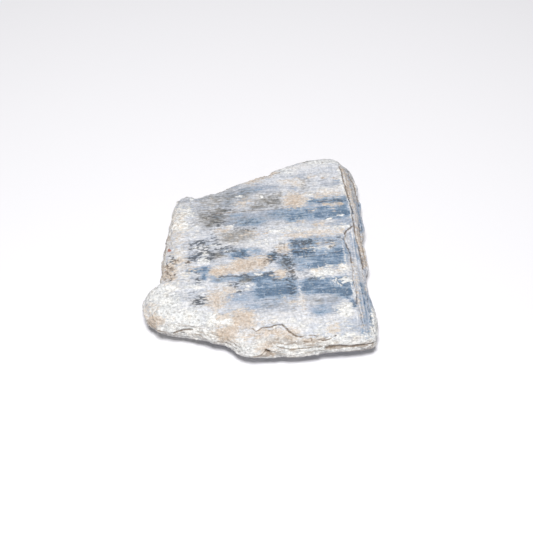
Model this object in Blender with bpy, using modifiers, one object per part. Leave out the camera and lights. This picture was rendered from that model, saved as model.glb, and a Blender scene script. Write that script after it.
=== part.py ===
"""Kyanite blade cluster: a broken slab of kyanite blades grown together side by side.

The slab lies flat. Its blades run along X, Y goes across them to the back, and Z is up from
the flat cleavage face that it rests on. It is a stack of four cleavage plates, each with its own
broken outline. Low blade ridges run along the top, the ends of the blades form steps on the
right, a flake is missing from the front, and the left edge and the lobe beside it carry rounded
crust. The origin is at the middle of the foot of the slab's box.
"""

import math
import random

import bmesh
import bpy
import numpy as np
from mathutils import Matrix, Vector, noise

MM = 0.001
OBJECT_NAME = "kyanite_cluster"

# Driving dimensions, in millimetres; the plates' heights are those of their foot and their top.
SLAB_TOP = 8.0
FOOT_PLATE = (-0.8, 2.5)
RIM_PLATE = (0.7, 4.9)
LEDGE_PLATE = (3.3, 6.5)
TOP_PLATE = (4.4, SLAB_TOP)

# The broken edges: the length of one break, how unevenly the breaks fall, and how rough they are.
EDGE_STEP = 1.45
EDGE_UNEVENNESS = 0.25
EDGE_ROUGHNESS = 0.2
WALL_ROUGHNESS = 0.3
BELLY_SHARE = 0.55

# How far a plate's rim is drawn in at the foot and at the top of its wall.
TOP_LEAN = (0.0, 0.5)
LEDGE_LEAN = (0.2, 0.55)
RIM_LEAN = (1.5, 0.45)
FOOT_LEAN = (2.2, -0.8)

# The blades: width, height of the ridges, how much a blade's height wanders along it, the run
# between two of its heights, how far the blades reach each way, and how far the blades of the
# underside lie from those above.
BLADE_WIDTH = (0.9, 2.6)
BLADE_RELIEF = 0.22
BLADE_WANDER = 0.5
BLADE_RUN = 6.2
BLADE_REACH = 33.0
UNDER_SHIFT = 2.0

VOXEL = 0.4
FACET_SHARE = 0.085
FOOT_SKIN = 0.12

# The size of the block that cuts the foot's face, and the way from the outlines' frame to the
# middle of the slab's box.
FLOOR_BLOCK = (80.0, 80.0, 6.0)
BOX_SHIFT = (-0.3, -0.6, 0.0)

LEFT_FALL = (1.7, 4.0)
FRONT_FALL = (2.3, 10.0)
BACK_FALL = (0.6, 4.5)
RIGHT_FALL = (0.35, 3.0)
UNDER_RISE = (1.9, 7.0)
LEDGE_FALL_SHARE = 0.8
RIM_FALL_SHARE = 0.45

# The lumps of crust along the left edge: their number, the part of the edge that carries them,
# their radii and heights, and how they vary.
CRUST_LUMPS = 22
CRUST_START = -7.5
CRUST_LENGTH = 25.0
CRUST_RADIUS = (1.3, 2.6)
CRUST_HEIGHT = (2.6, 5.4)
CRUST_INSET = (0.95, 1.3)
CRUST_STRETCH = (0.9, 1.3)
CRUST_FLATNESS = (0.6, 0.8)
LUMP_ROUGHNESS = 0.2
LUMP_GRAIN = 1.3
LUMP_NOISE_STEP = (3.7, 1.3)
LARGE_DIVISIONS = 3
SMALL_DIVISIONS = 2

# How far the surface is eaten away or swollen: (height, grain length), in millimetres.
CRUST_GRAIN = (0.5, 2.2)
RECESS_GRAIN = (0.4, 1.5)
WALL_GRAIN = (0.35, 2.2)
FACE_GRAIN = (0.12, 5.0)
WALL_SQUEEZE = (1.0, 1.0, 2.5)
FACE_SQUEEZE = (0.3, 1.0, 1.0)
CRUST_WIDTH = 6.0
RECESS_STEP = 0.7

# A wall is where the skin's normal rises by less than the first number; a face, by over the second.
WALL_RISE = (0.4, 0.8)

# Seeds of the random draws.
BLADE_SEEDS = (11, 23)
PLATE_SEEDS = (3, 5, 9, 7)
CRUST_SEED = 41
LARGE_LUMP_SEED = 1
CRUST_LUMP_SEED = 20
PIT_SEED = 60

# Outlines, in millimetres, counter-clockwise, seen from above.
RIM_OUTLINE = [
    (-24.0, -21.3), (-21.5, -22.3), (-18.9, -23.2), (-15.3, -24.0), (-12.4, -24.9),
    (-9.4, -26.4), (-7.4, -28.3), (-5.6, -29.5), (-3.0, -30.3), (1.7, -30.7),
    (6.7, -31.0), (11.7, -31.0), (16.7, -30.8), (21.7, -30.9), (26.0, -30.8),
    (28.1, -29.6), (28.7, -27.0), (29.0, -23.0), (29.1, -20.4), (28.7, -17.8),
    (28.4, -15.5), (28.2, -11.6), (28.2, -8.8), (29.1, -7.0), (29.8, -5.0),
    (29.7, -2.0), (29.3, 0.5), (29.4, 4.3), (30.1, 7.0), (30.2, 9.5),
    (30.0, 12.0), (30.2, 16.0), (30.2, 20.0), (30.4, 23.8), (30.1, 26.6),
    (29.2, 28.9), (27.3, 30.9), (22.5, 32.0), (17.5, 31.7), (11.7, 30.2),
    (6.7, 28.2), (1.7, 26.2), (-3.3, 24.7), (-8.3, 22.1), (-13.3, 20.3),
    (-17.2, 20.6), (-19.6, 19.3), (-21.1, 16.2), (-22.1, 12.5), (-22.9, 8.0),
    (-24.0, 3.0), (-24.6, -1.5), (-25.0, -5.5), (-25.6, -8.0), (-27.9, -8.4),
    (-29.4, -9.9), (-29.6, -13.0), (-28.9, -16.0), (-27.3, -18.4), (-25.6, -20.2),
]
TOP_OUTLINE = [
    (-22.0, -20.4), (-18.0, -21.6), (-14.4, -22.6), (-11.2, -23.9), (-8.6, -25.8),
    (-6.4, -27.6), (-4.6, -28.8), (-3.2, -28.9), (-2.4, -27.5), (-1.7, -26.1),
    (0.0, -24.9), (2.5, -24.7), (4.7, -24.3), (5.6, -25.1), (7.3, -26.7),
    (8.6, -27.6), (10.4, -27.6), (12.0, -28.0), (13.4, -28.9), (16.0, -29.5),
    (21.0, -29.8), (25.4, -29.6), (26.9, -28.4), (27.3, -25.0), (27.4, -20.0),
    (27.0, -14.5), (26.6, -10.5), (26.0, -8.0), (25.2, -6.4), (24.9, -4.6),
    (24.6, -1.5), (24.3, 1.6), (24.6, 3.7), (25.9, 5.1), (26.9, 6.1),
    (27.5, 7.3), (27.6, 9.3), (27.4, 11.8), (27.2, 15.0), (26.9, 17.5),
    (26.9, 22.5), (26.8, 27.0), (26.2, 29.6), (24.2, 31.7), (21.9, 32.1),
    (17.5, 31.6), (11.7, 30.1), (6.7, 27.9), (1.7, 25.9), (-3.3, 24.4),
    (-8.3, 21.8), (-13.3, 20.1), (-17.0, 20.2), (-19.2, 18.4), (-20.7, 15.0),
    (-21.7, 10.4), (-22.8, 5.0), (-23.7, 0.0), (-24.2, -5.0), (-25.0, -8.6),
    (-27.3, -9.6), (-28.6, -12.0), (-28.0, -15.6), (-26.0, -18.3), (-23.8, -19.9),
]
LEDGE_OUTLINE = [
    (-23.0, -20.8), (-18.6, -22.6), (-13.8, -23.9), (-9.8, -25.8), (-7.0, -28.2),
    (-4.4, -29.7), (1.4, -30.0), (6.6, -30.3), (12.0, -30.3), (19.0, -30.2),
    (25.8, -30.1), (27.7, -28.8), (28.1, -24.0), (28.3, -20.2), (27.8, -15.6),
    (27.4, -11.4), (27.6, -8.2), (27.9, -4.6), (27.8, -1.0), (27.9, 3.6),
    (28.4, 6.4), (28.8, 9.4), (28.9, 14.0), (28.7, 19.0), (28.7, 23.4),
    (28.9, 26.8), (28.1, 29.3), (26.2, 31.2), (21.8, 31.9), (17.2, 31.4),
    (11.4, 29.9), (6.4, 27.6), (1.2, 25.6), (-3.6, 24.0), (-8.6, 21.5),
    (-13.6, 19.8), (-17.6, 19.8), (-20.1, 16.6), (-21.4, 12.0), (-22.5, 6.0),
    (-23.8, 0.0), (-24.4, -5.2), (-25.4, -8.6), (-27.9, -9.6), (-29.0, -13.0),
    (-28.2, -15.8), (-26.4, -18.9),
]
FOOT_OUTLINE = [
    (-22.5, -17.0), (-15.0, -20.5), (-8.0, -23.0), (-2.0, -26.2), (8.0, -27.4),
    (18.0, -27.6), (24.5, -26.8), (25.8, -22.0), (25.4, -12.0), (26.6, -4.0),
    (26.2, 4.0), (27.4, 10.0), (27.2, 20.0), (25.6, 26.0), (20.5, 28.4),
    (12.0, 26.8), (3.0, 22.6), (-6.0, 19.0), (-14.0, 16.6), (-18.0, 14.0),
    (-20.0, 7.0), (-21.8, -1.0), (-22.6, -8.0), (-25.6, -11.0), (-26.0, -14.5),
]

# The slab's four sides as y or x against the other, for the fall of the top towards its edges.
LEFT_SIDE = ([-22, -16, -12, -8.5, -5, 3, 8, 12.5, 16, 20],
             [-24.6, -28.8, -29.6, -26, -25, -24, -22.9, -22.1, -21.1, -18])
FRONT_SIDE = ([-28, -24, -19, -15, -11, -8, -6, -3, 2, 12, 26, 28],
              [-17.6, -21.4, -23.2, -24.1, -25.6, -27.8, -29.5, -30.3, -30.7, -31, -30.8, -29.5])
BACK_SIDE = ([-20, -17, -8, 2, 12, 18, 23, 26, 28],
             [18.8, 20.6, 22.4, 26.3, 30.4, 31.8, 32, 31, 28.8])
RIGHT_SIDE = ([-30, -20, -11, -5, 1, 9, 20, 28],
              [28, 29.1, 28.2, 29.8, 29.3, 30.2, 30.2, 29.2])

# The three fine steps where the blades end at the lower right: (x, drop), below STEPS_FROM in y.
END_STEPS = [(24.5, 0.4), (25.7, 0.45), (26.7, 0.5)]
STEPS_FROM = -5.0
STEPS_BLEND = 3.0
STEP_HALF_WIDTH = 0.12

# The lobe, the bulges of the front edge and the bump at the back corner, as rounded lumps:
# (centre, radii, turn about Z in degrees).
LARGE_LUMPS = [
    ((-23.2, -15.0, 4.2), (5.9, 6.2, 3.1), -14.0),
    ((-23.4, -12.4, 4.3), (6.1, 4.4, 3.0), 10.0),
    ((-21.3, -17.4, 4.1), (5.4, 4.5, 2.8), -14.0),
    ((-2.4, -27.0, 4.0), (4.6, 3.3, 2.2), 10.0),
    ((-11.2, -22.2, 4.4), (6.2, 3.2, 2.5), -24.0),
    ((-16.9, 19.3, 5.8), (2.9, 2.0, 2.1), -10.0),
]

# The recess that a lost flake left in the front: its span in X, and its depth from the front side.
RECESS_X = (-2.0, 13.0)
RECESS_DEPTH = 7.0

# Slots where plates have parted: (middle, size, tilt about X, turn about Z).
CRACKS = [
    ((21.4, -30.6, 3.75), (12.6, 4.2, 0.55), 4.0, 0.3),
    ((-20.6, -23.6, 3.15), (6.6, 3.6, 0.6), 8.0, -9.0),
    ((29.4, 17.0, 4.75), (3.2, 15.0, 0.5), 0.0, 1.5),
]

# Hollows in the rough parts: (centre, radii), each turned by PIT_TURN degrees from the last.
PIT_TURN = 15.0
PITS = [
    ((0.8, -29.7, 4.7), (1.1, 0.8, 0.8)),
    ((-24.1, -3.6, 5.4), (0.9, 1.4, 0.9)),
    ((-23.6, -6.6, 5.8), (1.2, 0.9, 0.8)),
]

# Distances below which two points are one, and the shares of a wall's height that count as wall.
SAME_POINT = 1e-6
SAME_PLACE = 1e-7
NO_LENGTH = 1e-9
SAME_HEIGHT = 0.01
WALL_SPAN = (0.05, 0.95)

STONE_COLOR = (0.36, 0.44, 0.55, 1.0)
STONE_ROUGHNESS = 0.55


def clear_scene():
    """Remove every object that the file holds."""
    for item in list(bpy.data.objects):
        bpy.data.objects.remove(item, do_unlink=True)


def new_collection(name):
    """Make a collection in the scene."""
    group = bpy.data.collections.new(name)
    bpy.context.scene.collection.children.link(group)
    return group


def stone_material():
    """Make the stone's material."""
    material = bpy.data.materials.new("kyanite_stone")
    material.use_nodes = True
    shader = material.node_tree.nodes["Principled BSDF"]
    shader.inputs["Base Color"].default_value = STONE_COLOR
    shader.inputs["Roughness"].default_value = STONE_ROUGHNESS
    shader.inputs["Metallic"].default_value = 0.0
    material.diffuse_color = STONE_COLOR
    return material


def add_tool(name, mesh, group):
    """Add a hidden solid that a Boolean joins to the slab or cuts from it."""
    tool = bpy.data.objects.new(name, mesh)
    tool.hide_render = True
    tool.display_type = "WIRE"
    group.objects.link(tool)
    return tool


def outward(points, index):
    """Give the outline's outward direction at one of its points."""
    before = np.array(points[index - 2])
    after = np.array(points[(index + 2) % len(points)])
    along = after - before
    along = along / max(np.hypot(*along), NO_LENGTH)
    return np.array((along[1], -along[0]))


def broken_outline(points, seed):
    """Divide an outline evenly and roughen it as broken stone."""
    corners = np.array(points + points[:1], float)
    runs = np.hypot(*np.diff(corners, axis=0).T)
    reach = np.concatenate(([0.0], np.cumsum(runs)))
    count = int(reach[-1] / EDGE_STEP)
    rng = random.Random(seed)
    unevenness = EDGE_UNEVENNESS
    places = [
        (k + rng.uniform(-unevenness, unevenness)) * reach[-1] / count
        for k in range(1, count + 1)
    ]
    even = [(float(np.interp(s, reach, corners[:, 0])), float(np.interp(s, reach, corners[:, 1])))
            for s in places]
    rough = []
    for index, point in enumerate(even):
        shift = rng.uniform(-EDGE_ROUGHNESS, EDGE_ROUGHNESS)
        rough.append(tuple(np.array(point) + outward(even, index) * shift))
    return rough


def outline_solid(name, outline, levels):
    """Make a flat outline into a closed plate between two heights."""
    low, high = levels
    curve = bpy.data.curves.new(name, "CURVE")
    curve.dimensions = "2D"
    curve.fill_mode = "BOTH"
    curve.extrude = (high - low) / 2 * MM
    spline = curve.splines.new("POLY")
    spline.points.add(len(outline) - 1)
    for point, (x, y) in zip(spline.points, outline):
        point.co = (x * MM, y * MM, 0.0, 1.0)
    spline.use_cyclic_u = True
    guide = bpy.data.objects.new(name + "_outline", curve)
    guide.location.z = (low + high) / 2 * MM
    bpy.context.scene.collection.objects.link(guide)
    bpy.context.view_layer.update()
    mesh = bpy.data.meshes.new_from_object(guide.evaluated_get(bpy.context.evaluated_depsgraph_get()))
    mesh.transform(guide.matrix_world)
    bpy.data.objects.remove(guide, do_unlink=True)
    return mesh


def fade(distance, fall):
    """Give the drop of a surface near an edge, from the distance to that edge."""
    drop, width = fall
    return drop * (1.0 - min(max(distance / width, 0.0), 1.0)) ** 2


def side_distances(x, y):
    """Give how far a place is from the left, front, back and right sides."""
    return (
        x - float(np.interp(y, *LEFT_SIDE)),
        y - float(np.interp(x, *FRONT_SIDE)),
        float(np.interp(x, *BACK_SIDE)) - y,
        float(np.interp(y, *RIGHT_SIDE)) - x,
    )


def edge_fall(x, y):
    """Give how far the top has fallen towards the slab's edges at a place."""
    left, front, back, right = side_distances(x, y)
    return (
        fade(left, LEFT_FALL) + fade(front, FRONT_FALL) + fade(back, BACK_FALL)
        + fade(right, RIGHT_FALL)
    )


def end_steps(x, y):
    """Give the drop of the stepped blade ends at the lower right."""
    strength = min(max((STEPS_FROM - y) / STEPS_BLEND, 0.0), 1.0)
    return strength * sum(drop for edge, drop in END_STEPS if x > edge)


class BladeRelief:
    """Low ridges of side-by-side blades that run along X, each with its own height and tilt."""

    def __init__(self, seed):
        """Divide the slab's width into blades, and give each its heights along X."""
        rng = random.Random(seed)
        self.creases = [-BLADE_REACH]
        while self.creases[-1] < BLADE_REACH:
            self.creases.append(self.creases[-1] + rng.uniform(*BLADE_WIDTH))
        runs = int(2 * BLADE_REACH / BLADE_RUN) + 2
        self.places = [-BLADE_REACH + BLADE_RUN * k for k in range(runs)]
        self.heights = []
        wander = BLADE_RELIEF * BLADE_WANDER
        for _ in self.creases:
            base = rng.uniform(-BLADE_RELIEF, BLADE_RELIEF)
            self.heights.append([base + rng.uniform(-wander, wander) for _ in self.places])

    def height(self, x, y):
        """Give the surface's height at a place, straight from one crease to the next."""
        number = min(max(int(np.searchsorted(self.creases, y)), 1), len(self.creases) - 1)
        low, high = self.creases[number - 1], self.creases[number]
        before = float(np.interp(x, self.places, self.heights[number - 1]))
        after = float(np.interp(x, self.places, self.heights[number]))
        return before + (after - before) * (y - low) / (high - low)


def slice_plate(work, rows, columns):
    """Cut a plate's faces along rows and columns, so that its surface can be shaped."""
    for axis, places in ((Vector((0, 1, 0)), rows), (Vector((1, 0, 0)), columns)):
        for place in places:
            geometry = work.verts[:] + work.edges[:] + work.faces[:]
            bmesh.ops.bisect_plane(
                work, geom=geometry, dist=SAME_PLACE, plane_co=axis * place * MM, plane_no=axis
            )


def lean_walls(work, outline, belly, lean):
    """Draw a plate's lower and upper rims in, so that its wall bulges at the belly height."""
    geometry = work.verts[:] + work.edges[:] + work.faces[:]
    bmesh.ops.bisect_plane(
        work, geom=geometry, dist=SAME_PLACE, plane_co=(0, 0, belly * MM), plane_no=(0, 0, 1)
    )
    plan = np.array(outline)
    for vertex in work.verts:
        place = np.array((vertex.co.x, vertex.co.y)) / MM
        index = int(np.argmin(np.hypot(*(plan - place).T)))
        inward = -outward(outline, index)
        height = vertex.co.z / MM
        if height < belly - SAME_HEIGHT:
            shift = inward * lean[0]
        elif height > belly + SAME_HEIGHT:
            shift = inward * lean[1]
        else:
            shift = (0.0, 0.0)
        vertex.co.x += shift[0] * MM
        vertex.co.y += shift[1] * MM


def plate_mesh(name, points, levels, lean, seed, shape_top, shape_foot, rows=(), columns=()):
    """Make a cleavage plate: a broken outline, bulging walls, and shaped upper and lower faces."""
    low, high = levels
    outline = broken_outline(points, seed)
    mesh = outline_solid(name, outline, levels)
    work = bmesh.new()
    work.from_mesh(mesh)
    bmesh.ops.remove_doubles(work, verts=work.verts, dist=SAME_POINT)
    lean_walls(work, outline, low + (high - low) * BELLY_SHARE, lean)
    slice_plate(work, rows, columns)
    bmesh.ops.triangulate(work, faces=work.faces)
    bmesh.ops.recalc_face_normals(work, faces=work.faces)
    for vertex in work.verts:
        x, y, z = vertex.co / MM
        share = (z - low) / (high - low)
        vertex.co.z += (share * shape_top(x, y) + (1 - share) * shape_foot(x, y)) * MM
        if WALL_SPAN[0] < share < WALL_SPAN[1]:
            vertex.co.x += WALL_ROUGHNESS * noise.noise(Vector((x, y, z + seed))) * MM
            vertex.co.y += WALL_ROUGHNESS * noise.noise(Vector((y, x, z - seed))) * MM
    work.to_mesh(mesh)
    work.free()
    return mesh


def lump_mesh(name, centre, radii, turn, divisions, seed):
    """Make a rounded lump of crust."""
    work = bmesh.new()
    bmesh.ops.create_icosphere(work, subdivisions=divisions, radius=1.0)
    offset = Vector((seed * LUMP_NOISE_STEP[0], seed * LUMP_NOISE_STEP[1], 0.0))
    for vertex in work.verts:
        vertex.co *= 1.0 + LUMP_ROUGHNESS * noise.noise(vertex.co * LUMP_GRAIN + offset)
    place = Matrix.Translation(Vector(centre) * MM)
    size = Matrix.Diagonal((radii[0] * MM, radii[1] * MM, radii[2] * MM, 1.0))
    bmesh.ops.transform(
        work, matrix=place @ Matrix.Rotation(math.radians(turn), 4, "Z") @ size, verts=work.verts
    )
    mesh = bpy.data.meshes.new(name)
    work.to_mesh(mesh)
    work.free()
    return mesh


def crack_mesh(name, centre, size, tilt, turn):
    """Make the flat wedge that opens a gap between two plates."""
    work = bmesh.new()
    bmesh.ops.create_cube(work, size=1.0)
    place = (
        Matrix.Translation(Vector(centre) * MM)
        @ Matrix.Rotation(math.radians(turn), 4, "Z")
        @ Matrix.Rotation(math.radians(tilt), 4, "X")
    )
    stretch = Matrix.Diagonal((size[0] * MM, size[1] * MM, size[2] * MM, 1.0))
    bmesh.ops.transform(work, matrix=place @ stretch, verts=work.verts)
    mesh = bpy.data.meshes.new(name)
    work.to_mesh(mesh)
    work.free()
    return mesh


def make_plates():
    """Make the four cleavage plates."""
    top_blades, ledge_blades = (BladeRelief(seed) for seed in BLADE_SEEDS)
    columns = top_blades.places
    step_columns = [x + side for x, _ in END_STEPS for side in (-STEP_HALF_WIDTH, STEP_HALF_WIDTH)]

    def top_shape(x, y):
        return top_blades.height(x, y) - edge_fall(x, y) - end_steps(x, y)

    def ledge_shape(x, y):
        return ledge_blades.height(x, y) - LEDGE_FALL_SHARE * edge_fall(x, y)

    def rim_shape(x, y):
        return -RIM_FALL_SHARE * edge_fall(x, y)

    def rim_foot(x, y):
        rise = max(fade(distance, UNDER_RISE) for distance in side_distances(x, y))
        return rise + ledge_blades.height(x, y + UNDER_SHIFT)

    def level(x, y):
        return 0.0

    top_seed, ledge_seed, rim_seed, foot_seed = PLATE_SEEDS
    return [
        plate_mesh("top_plate", TOP_OUTLINE, TOP_PLATE, TOP_LEAN, top_seed, top_shape, level,
                   top_blades.creases, columns + step_columns),
        plate_mesh("ledge_plate", LEDGE_OUTLINE, LEDGE_PLATE, LEDGE_LEAN, ledge_seed, ledge_shape,
                   level, ledge_blades.creases, columns),
        plate_mesh("rim_plate", RIM_OUTLINE, RIM_PLATE, RIM_LEAN, rim_seed, rim_shape, rim_foot,
                   ledge_blades.creases, columns),
        plate_mesh("foot_plate", FOOT_OUTLINE, FOOT_PLATE, FOOT_LEAN, foot_seed, level, level),
    ]


def make_crust():
    """Make the large rounded lumps and the lumps of crust on the left edge."""
    lumps = [
        lump_mesh(
            f"lump_{number}", centre, radii, turn, LARGE_DIVISIONS, number + LARGE_LUMP_SEED
        )
        for number, (centre, radii, turn) in enumerate(LARGE_LUMPS)
    ]
    rng = random.Random(CRUST_SEED)
    for number in range(CRUST_LUMPS):
        y = CRUST_START + CRUST_LENGTH * (number + rng.random()) / CRUST_LUMPS
        z = rng.uniform(*CRUST_HEIGHT)
        radius = rng.uniform(*CRUST_RADIUS)
        x = float(np.interp(y, *LEFT_SIDE)) + radius * rng.uniform(*CRUST_INSET)
        depth = radius * rng.uniform(*CRUST_STRETCH)
        height = radius * rng.uniform(*CRUST_FLATNESS)
        turn = rng.uniform(0.0, 90.0)
        seed = number + CRUST_LUMP_SEED
        lumps.append(
            lump_mesh(
                f"crust_{number}", (x, y, z), (radius, depth, height), turn, SMALL_DIVISIONS, seed
            )
        )
    return lumps


def gather(name, meshes):
    """Put several meshes into one."""
    work = bmesh.new()
    for mesh in meshes:
        work.from_mesh(mesh)
    whole = bpy.data.meshes.new(name)
    work.to_mesh(whole)
    work.free()
    for mesh in meshes:
        bpy.data.meshes.remove(mesh)
    return whole


def make_breaks(group):
    """Make the cutters of the cracks between plates and of the hollows."""
    for number, (centre, size, tilt, turn) in enumerate(CRACKS):
        add_tool(f"crack_{number}", crack_mesh(f"crack_{number}", centre, size, tilt, turn), group)
    for number, (centre, radii) in enumerate(PITS):
        turn = PIT_TURN * number
        mesh = lump_mesh(
            f"pit_{number}", centre, radii, turn, SMALL_DIVISIONS, number + PIT_SEED
        )
        add_tool(f"pit_{number}", mesh, group)
    floor = crack_mesh("foot_face", (0.0, 0.0, -FLOOR_BLOCK[2] / 2), FLOOR_BLOCK, 0.0, 0.0)
    add_tool("foot_face", floor, group)


def grain(place, scale, squeeze=(1.0, 1.0, 1.0)):
    """Give smooth noise of a grain length at a place."""
    size, length = scale
    spot = Vector(p * k / length for p, k in zip(place, squeeze))
    return size * noise.noise(spot)


def weather(mesh):
    """Roughen the crust, the broken walls and the recess, and leave the cleavage faces plain."""
    steepest, flattest = WALL_RISE
    normals = [vertex.normal.copy() for vertex in mesh.vertices]
    for vertex, normal in zip(mesh.vertices, normals):
        place = vertex.co / MM
        x, y, z = place
        left, front, _, _ = side_distances(x, y)
        crust = 1.0 - min(max(left / CRUST_WIDTH, 0.0), 1.0)
        wall = 1.0 - min(max((abs(normal.z) - steepest) / (flattest - steepest), 0.0), 1.0)
        sunk = SLAB_TOP - edge_fall(x, y) - z > RECESS_STEP
        recess = float(sunk and RECESS_X[0] < x < RECESS_X[1] and front < RECESS_DEPTH and normal.z > 0)
        shift = (
            crust * grain(place, CRUST_GRAIN)
            + recess * grain(place, RECESS_GRAIN)
            + wall * (1.0 - crust) * grain(place, WALL_GRAIN, WALL_SQUEEZE)
            + grain(place, FACE_GRAIN, FACE_SQUEEZE)
        )
        vertex.co += normal * shift * MM


def voxel_step(guide, name):
    """Add a voxel remesh, which gives a shape one even skin."""
    step = guide.modifiers.new(name, "REMESH")
    step.mode = "VOXEL"
    step.voxel_size = VOXEL * MM


def finished_mesh(guide):
    """Give the mesh that an object's modifiers make, and remove the object."""
    bpy.context.view_layer.update()
    shape = guide.evaluated_get(bpy.context.evaluated_depsgraph_get())
    mesh = bpy.data.meshes.new_from_object(shape)
    bpy.data.objects.remove(guide, do_unlink=True)
    return mesh


def fused(mesh):
    """Fuse overlapping solids into one skin."""
    guide = bpy.data.objects.new("fusing", mesh)
    bpy.context.scene.collection.objects.link(guide)
    voxel_step(guide, "fuse")
    return finished_mesh(guide)


def faceted(mesh, cutters):
    """Open the slab's breaks and bring its skin down to plain facets."""
    guide = bpy.data.objects.new("faceting", mesh)
    bpy.context.scene.collection.objects.link(guide)
    voxel_step(guide, "mend")
    breaks = guide.modifiers.new("open_breaks", "BOOLEAN")
    breaks.operation = "DIFFERENCE"
    breaks.solver = "EXACT"
    breaks.operand_type = "COLLECTION"
    breaks.collection = cutters
    voxel_step(guide, "even_out")
    facets = guide.modifiers.new("facets", "DECIMATE")
    facets.ratio = FACET_SHARE
    guide.modifiers.new("triangles", "TRIANGULATE")
    return finished_mesh(guide)


def flatten_foot(mesh):
    """Set the foot's face exactly at the height of the surface below it."""
    for vertex in mesh.vertices:
        if vertex.co.z < FOOT_SKIN * MM:
            vertex.co.z = 0.0


def build():
    """Build the slab."""
    clear_scene()
    parts = new_collection(OBJECT_NAME)
    cutters = new_collection("break_cutters")
    make_breaks(cutters)
    skin = fused(gather("overlapping", make_plates() + make_crust()))
    weather(skin)
    solid = faceted(skin, cutters)
    flatten_foot(solid)
    solid.transform(Matrix.Translation(Vector(BOX_SHIFT) * MM))
    solid.name = OBJECT_NAME
    solid.materials.clear()
    solid.materials.append(stone_material())
    slab = bpy.data.objects.new(OBJECT_NAME, solid)
    parts.objects.link(slab)


build()
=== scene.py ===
"""Kyanite blade cluster: the finish of the stone slab, its studio and its camera.

Lengths in the classes are in millimetres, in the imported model's frame: the blades run along X,
Y goes across them to the back, and Z is up from the cleavage face that the slab rests on.
"""

import logging
import math
from dataclasses import dataclass
from enum import Enum

import bpy
import numpy as np
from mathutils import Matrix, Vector


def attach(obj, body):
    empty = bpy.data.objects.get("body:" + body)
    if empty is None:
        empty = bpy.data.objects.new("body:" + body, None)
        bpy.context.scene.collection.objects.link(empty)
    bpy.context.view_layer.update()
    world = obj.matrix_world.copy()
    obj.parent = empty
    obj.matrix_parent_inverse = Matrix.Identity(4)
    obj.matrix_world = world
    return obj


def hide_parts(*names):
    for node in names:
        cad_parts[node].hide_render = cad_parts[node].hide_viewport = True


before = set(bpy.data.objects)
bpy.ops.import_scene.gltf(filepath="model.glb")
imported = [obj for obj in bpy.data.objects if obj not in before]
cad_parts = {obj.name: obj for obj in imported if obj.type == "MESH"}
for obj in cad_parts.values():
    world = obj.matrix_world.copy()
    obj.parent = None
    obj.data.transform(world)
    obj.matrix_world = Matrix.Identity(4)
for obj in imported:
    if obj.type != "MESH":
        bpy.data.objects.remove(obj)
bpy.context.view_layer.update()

LOG = logging.getLogger("kyanite")
MM = 0.001
NODE = "kyanite_cluster"
BODY = "root"
NOISE_MIDDLE = 0.5
Band = tuple[float, float]
Colour = tuple[float, float, float, float]
Socket = bpy.types.NodeSocket


class Stain(Enum):
    """What lies on the stone's skin, and its painted light and shade. Each is a mask that the stone's
    finish reads by its value.
    """

    BLUE = "blue"
    OLIVE = "olive"
    CLAY = "clay"
    CHALK = "chalk"
    SPECKLE = "speckle"
    CRACK = "crack"
    SEAM = "seam"
    RUST = "rust"
    WALL = "wall"
    FLANK = "flank"
    # A painted highlight: the crust is made whiter on the skin's convex crests and edges.
    CREST_HIGHLIGHT = "crest"
    # Painted shade with some dirt: the skin is darkened in its hollows, steps and joints.
    HOLLOW_DIRT_AND_SHADE = "hollow"


@dataclass(frozen=True)
class Patch:
    """A stained area with rounded corners, longer along the blades than across them.

    Args:
        left: Its lowest X.
        right: Its highest X.
        front: Its lowest Y.
        back: Its highest Y.
        level: How strong the stain is, from 0 to 1. A little over 1 widens its full strength.
        edge: How wide the band is in which it fades away.
        turn: Its turn about Z, in degrees.
    """

    left: float
    right: float
    front: float
    back: float
    level: float = 1.0
    edge: float = 1.2
    turn: float = 0.0

    CORNER = 0.8  # The corners' radius, as a share of the shorter half side.

    def cover(self, x: np.ndarray, y: np.ndarray, rough: np.ndarray, soft: float) -> np.ndarray:
        """Give how far the patch covers each place.

        Args:
            x: The places' X.
            y: The places' Y.
            rough: How far the patch's edge is moved at each place.
            soft: How many times as wide as the patch's own edge it fades.

        Returns:
            Values from 0, outside, to 1, well inside.
        """
        half_x = (self.right - self.left) / 2
        half_y = (self.back - self.front) / 2
        away_x = x - (self.left + self.right) / 2
        away_y = y - (self.front + self.back) / 2
        angle = math.radians(self.turn)
        along = away_x * math.cos(angle) + away_y * math.sin(angle)
        across = away_y * math.cos(angle) - away_x * math.sin(angle)
        corner = min(half_x, half_y) * self.CORNER
        over_x = np.abs(along) - half_x + corner
        over_y = np.abs(across) - half_y + corner
        outside = np.hypot(np.maximum(over_x, 0.0), np.maximum(over_y, 0.0))
        distance = outside + np.minimum(np.maximum(over_x, over_y), 0.0) - corner
        return np.clip(0.5 - (distance + rough) / (self.edge * soft), 0.0, 1.0)


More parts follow.
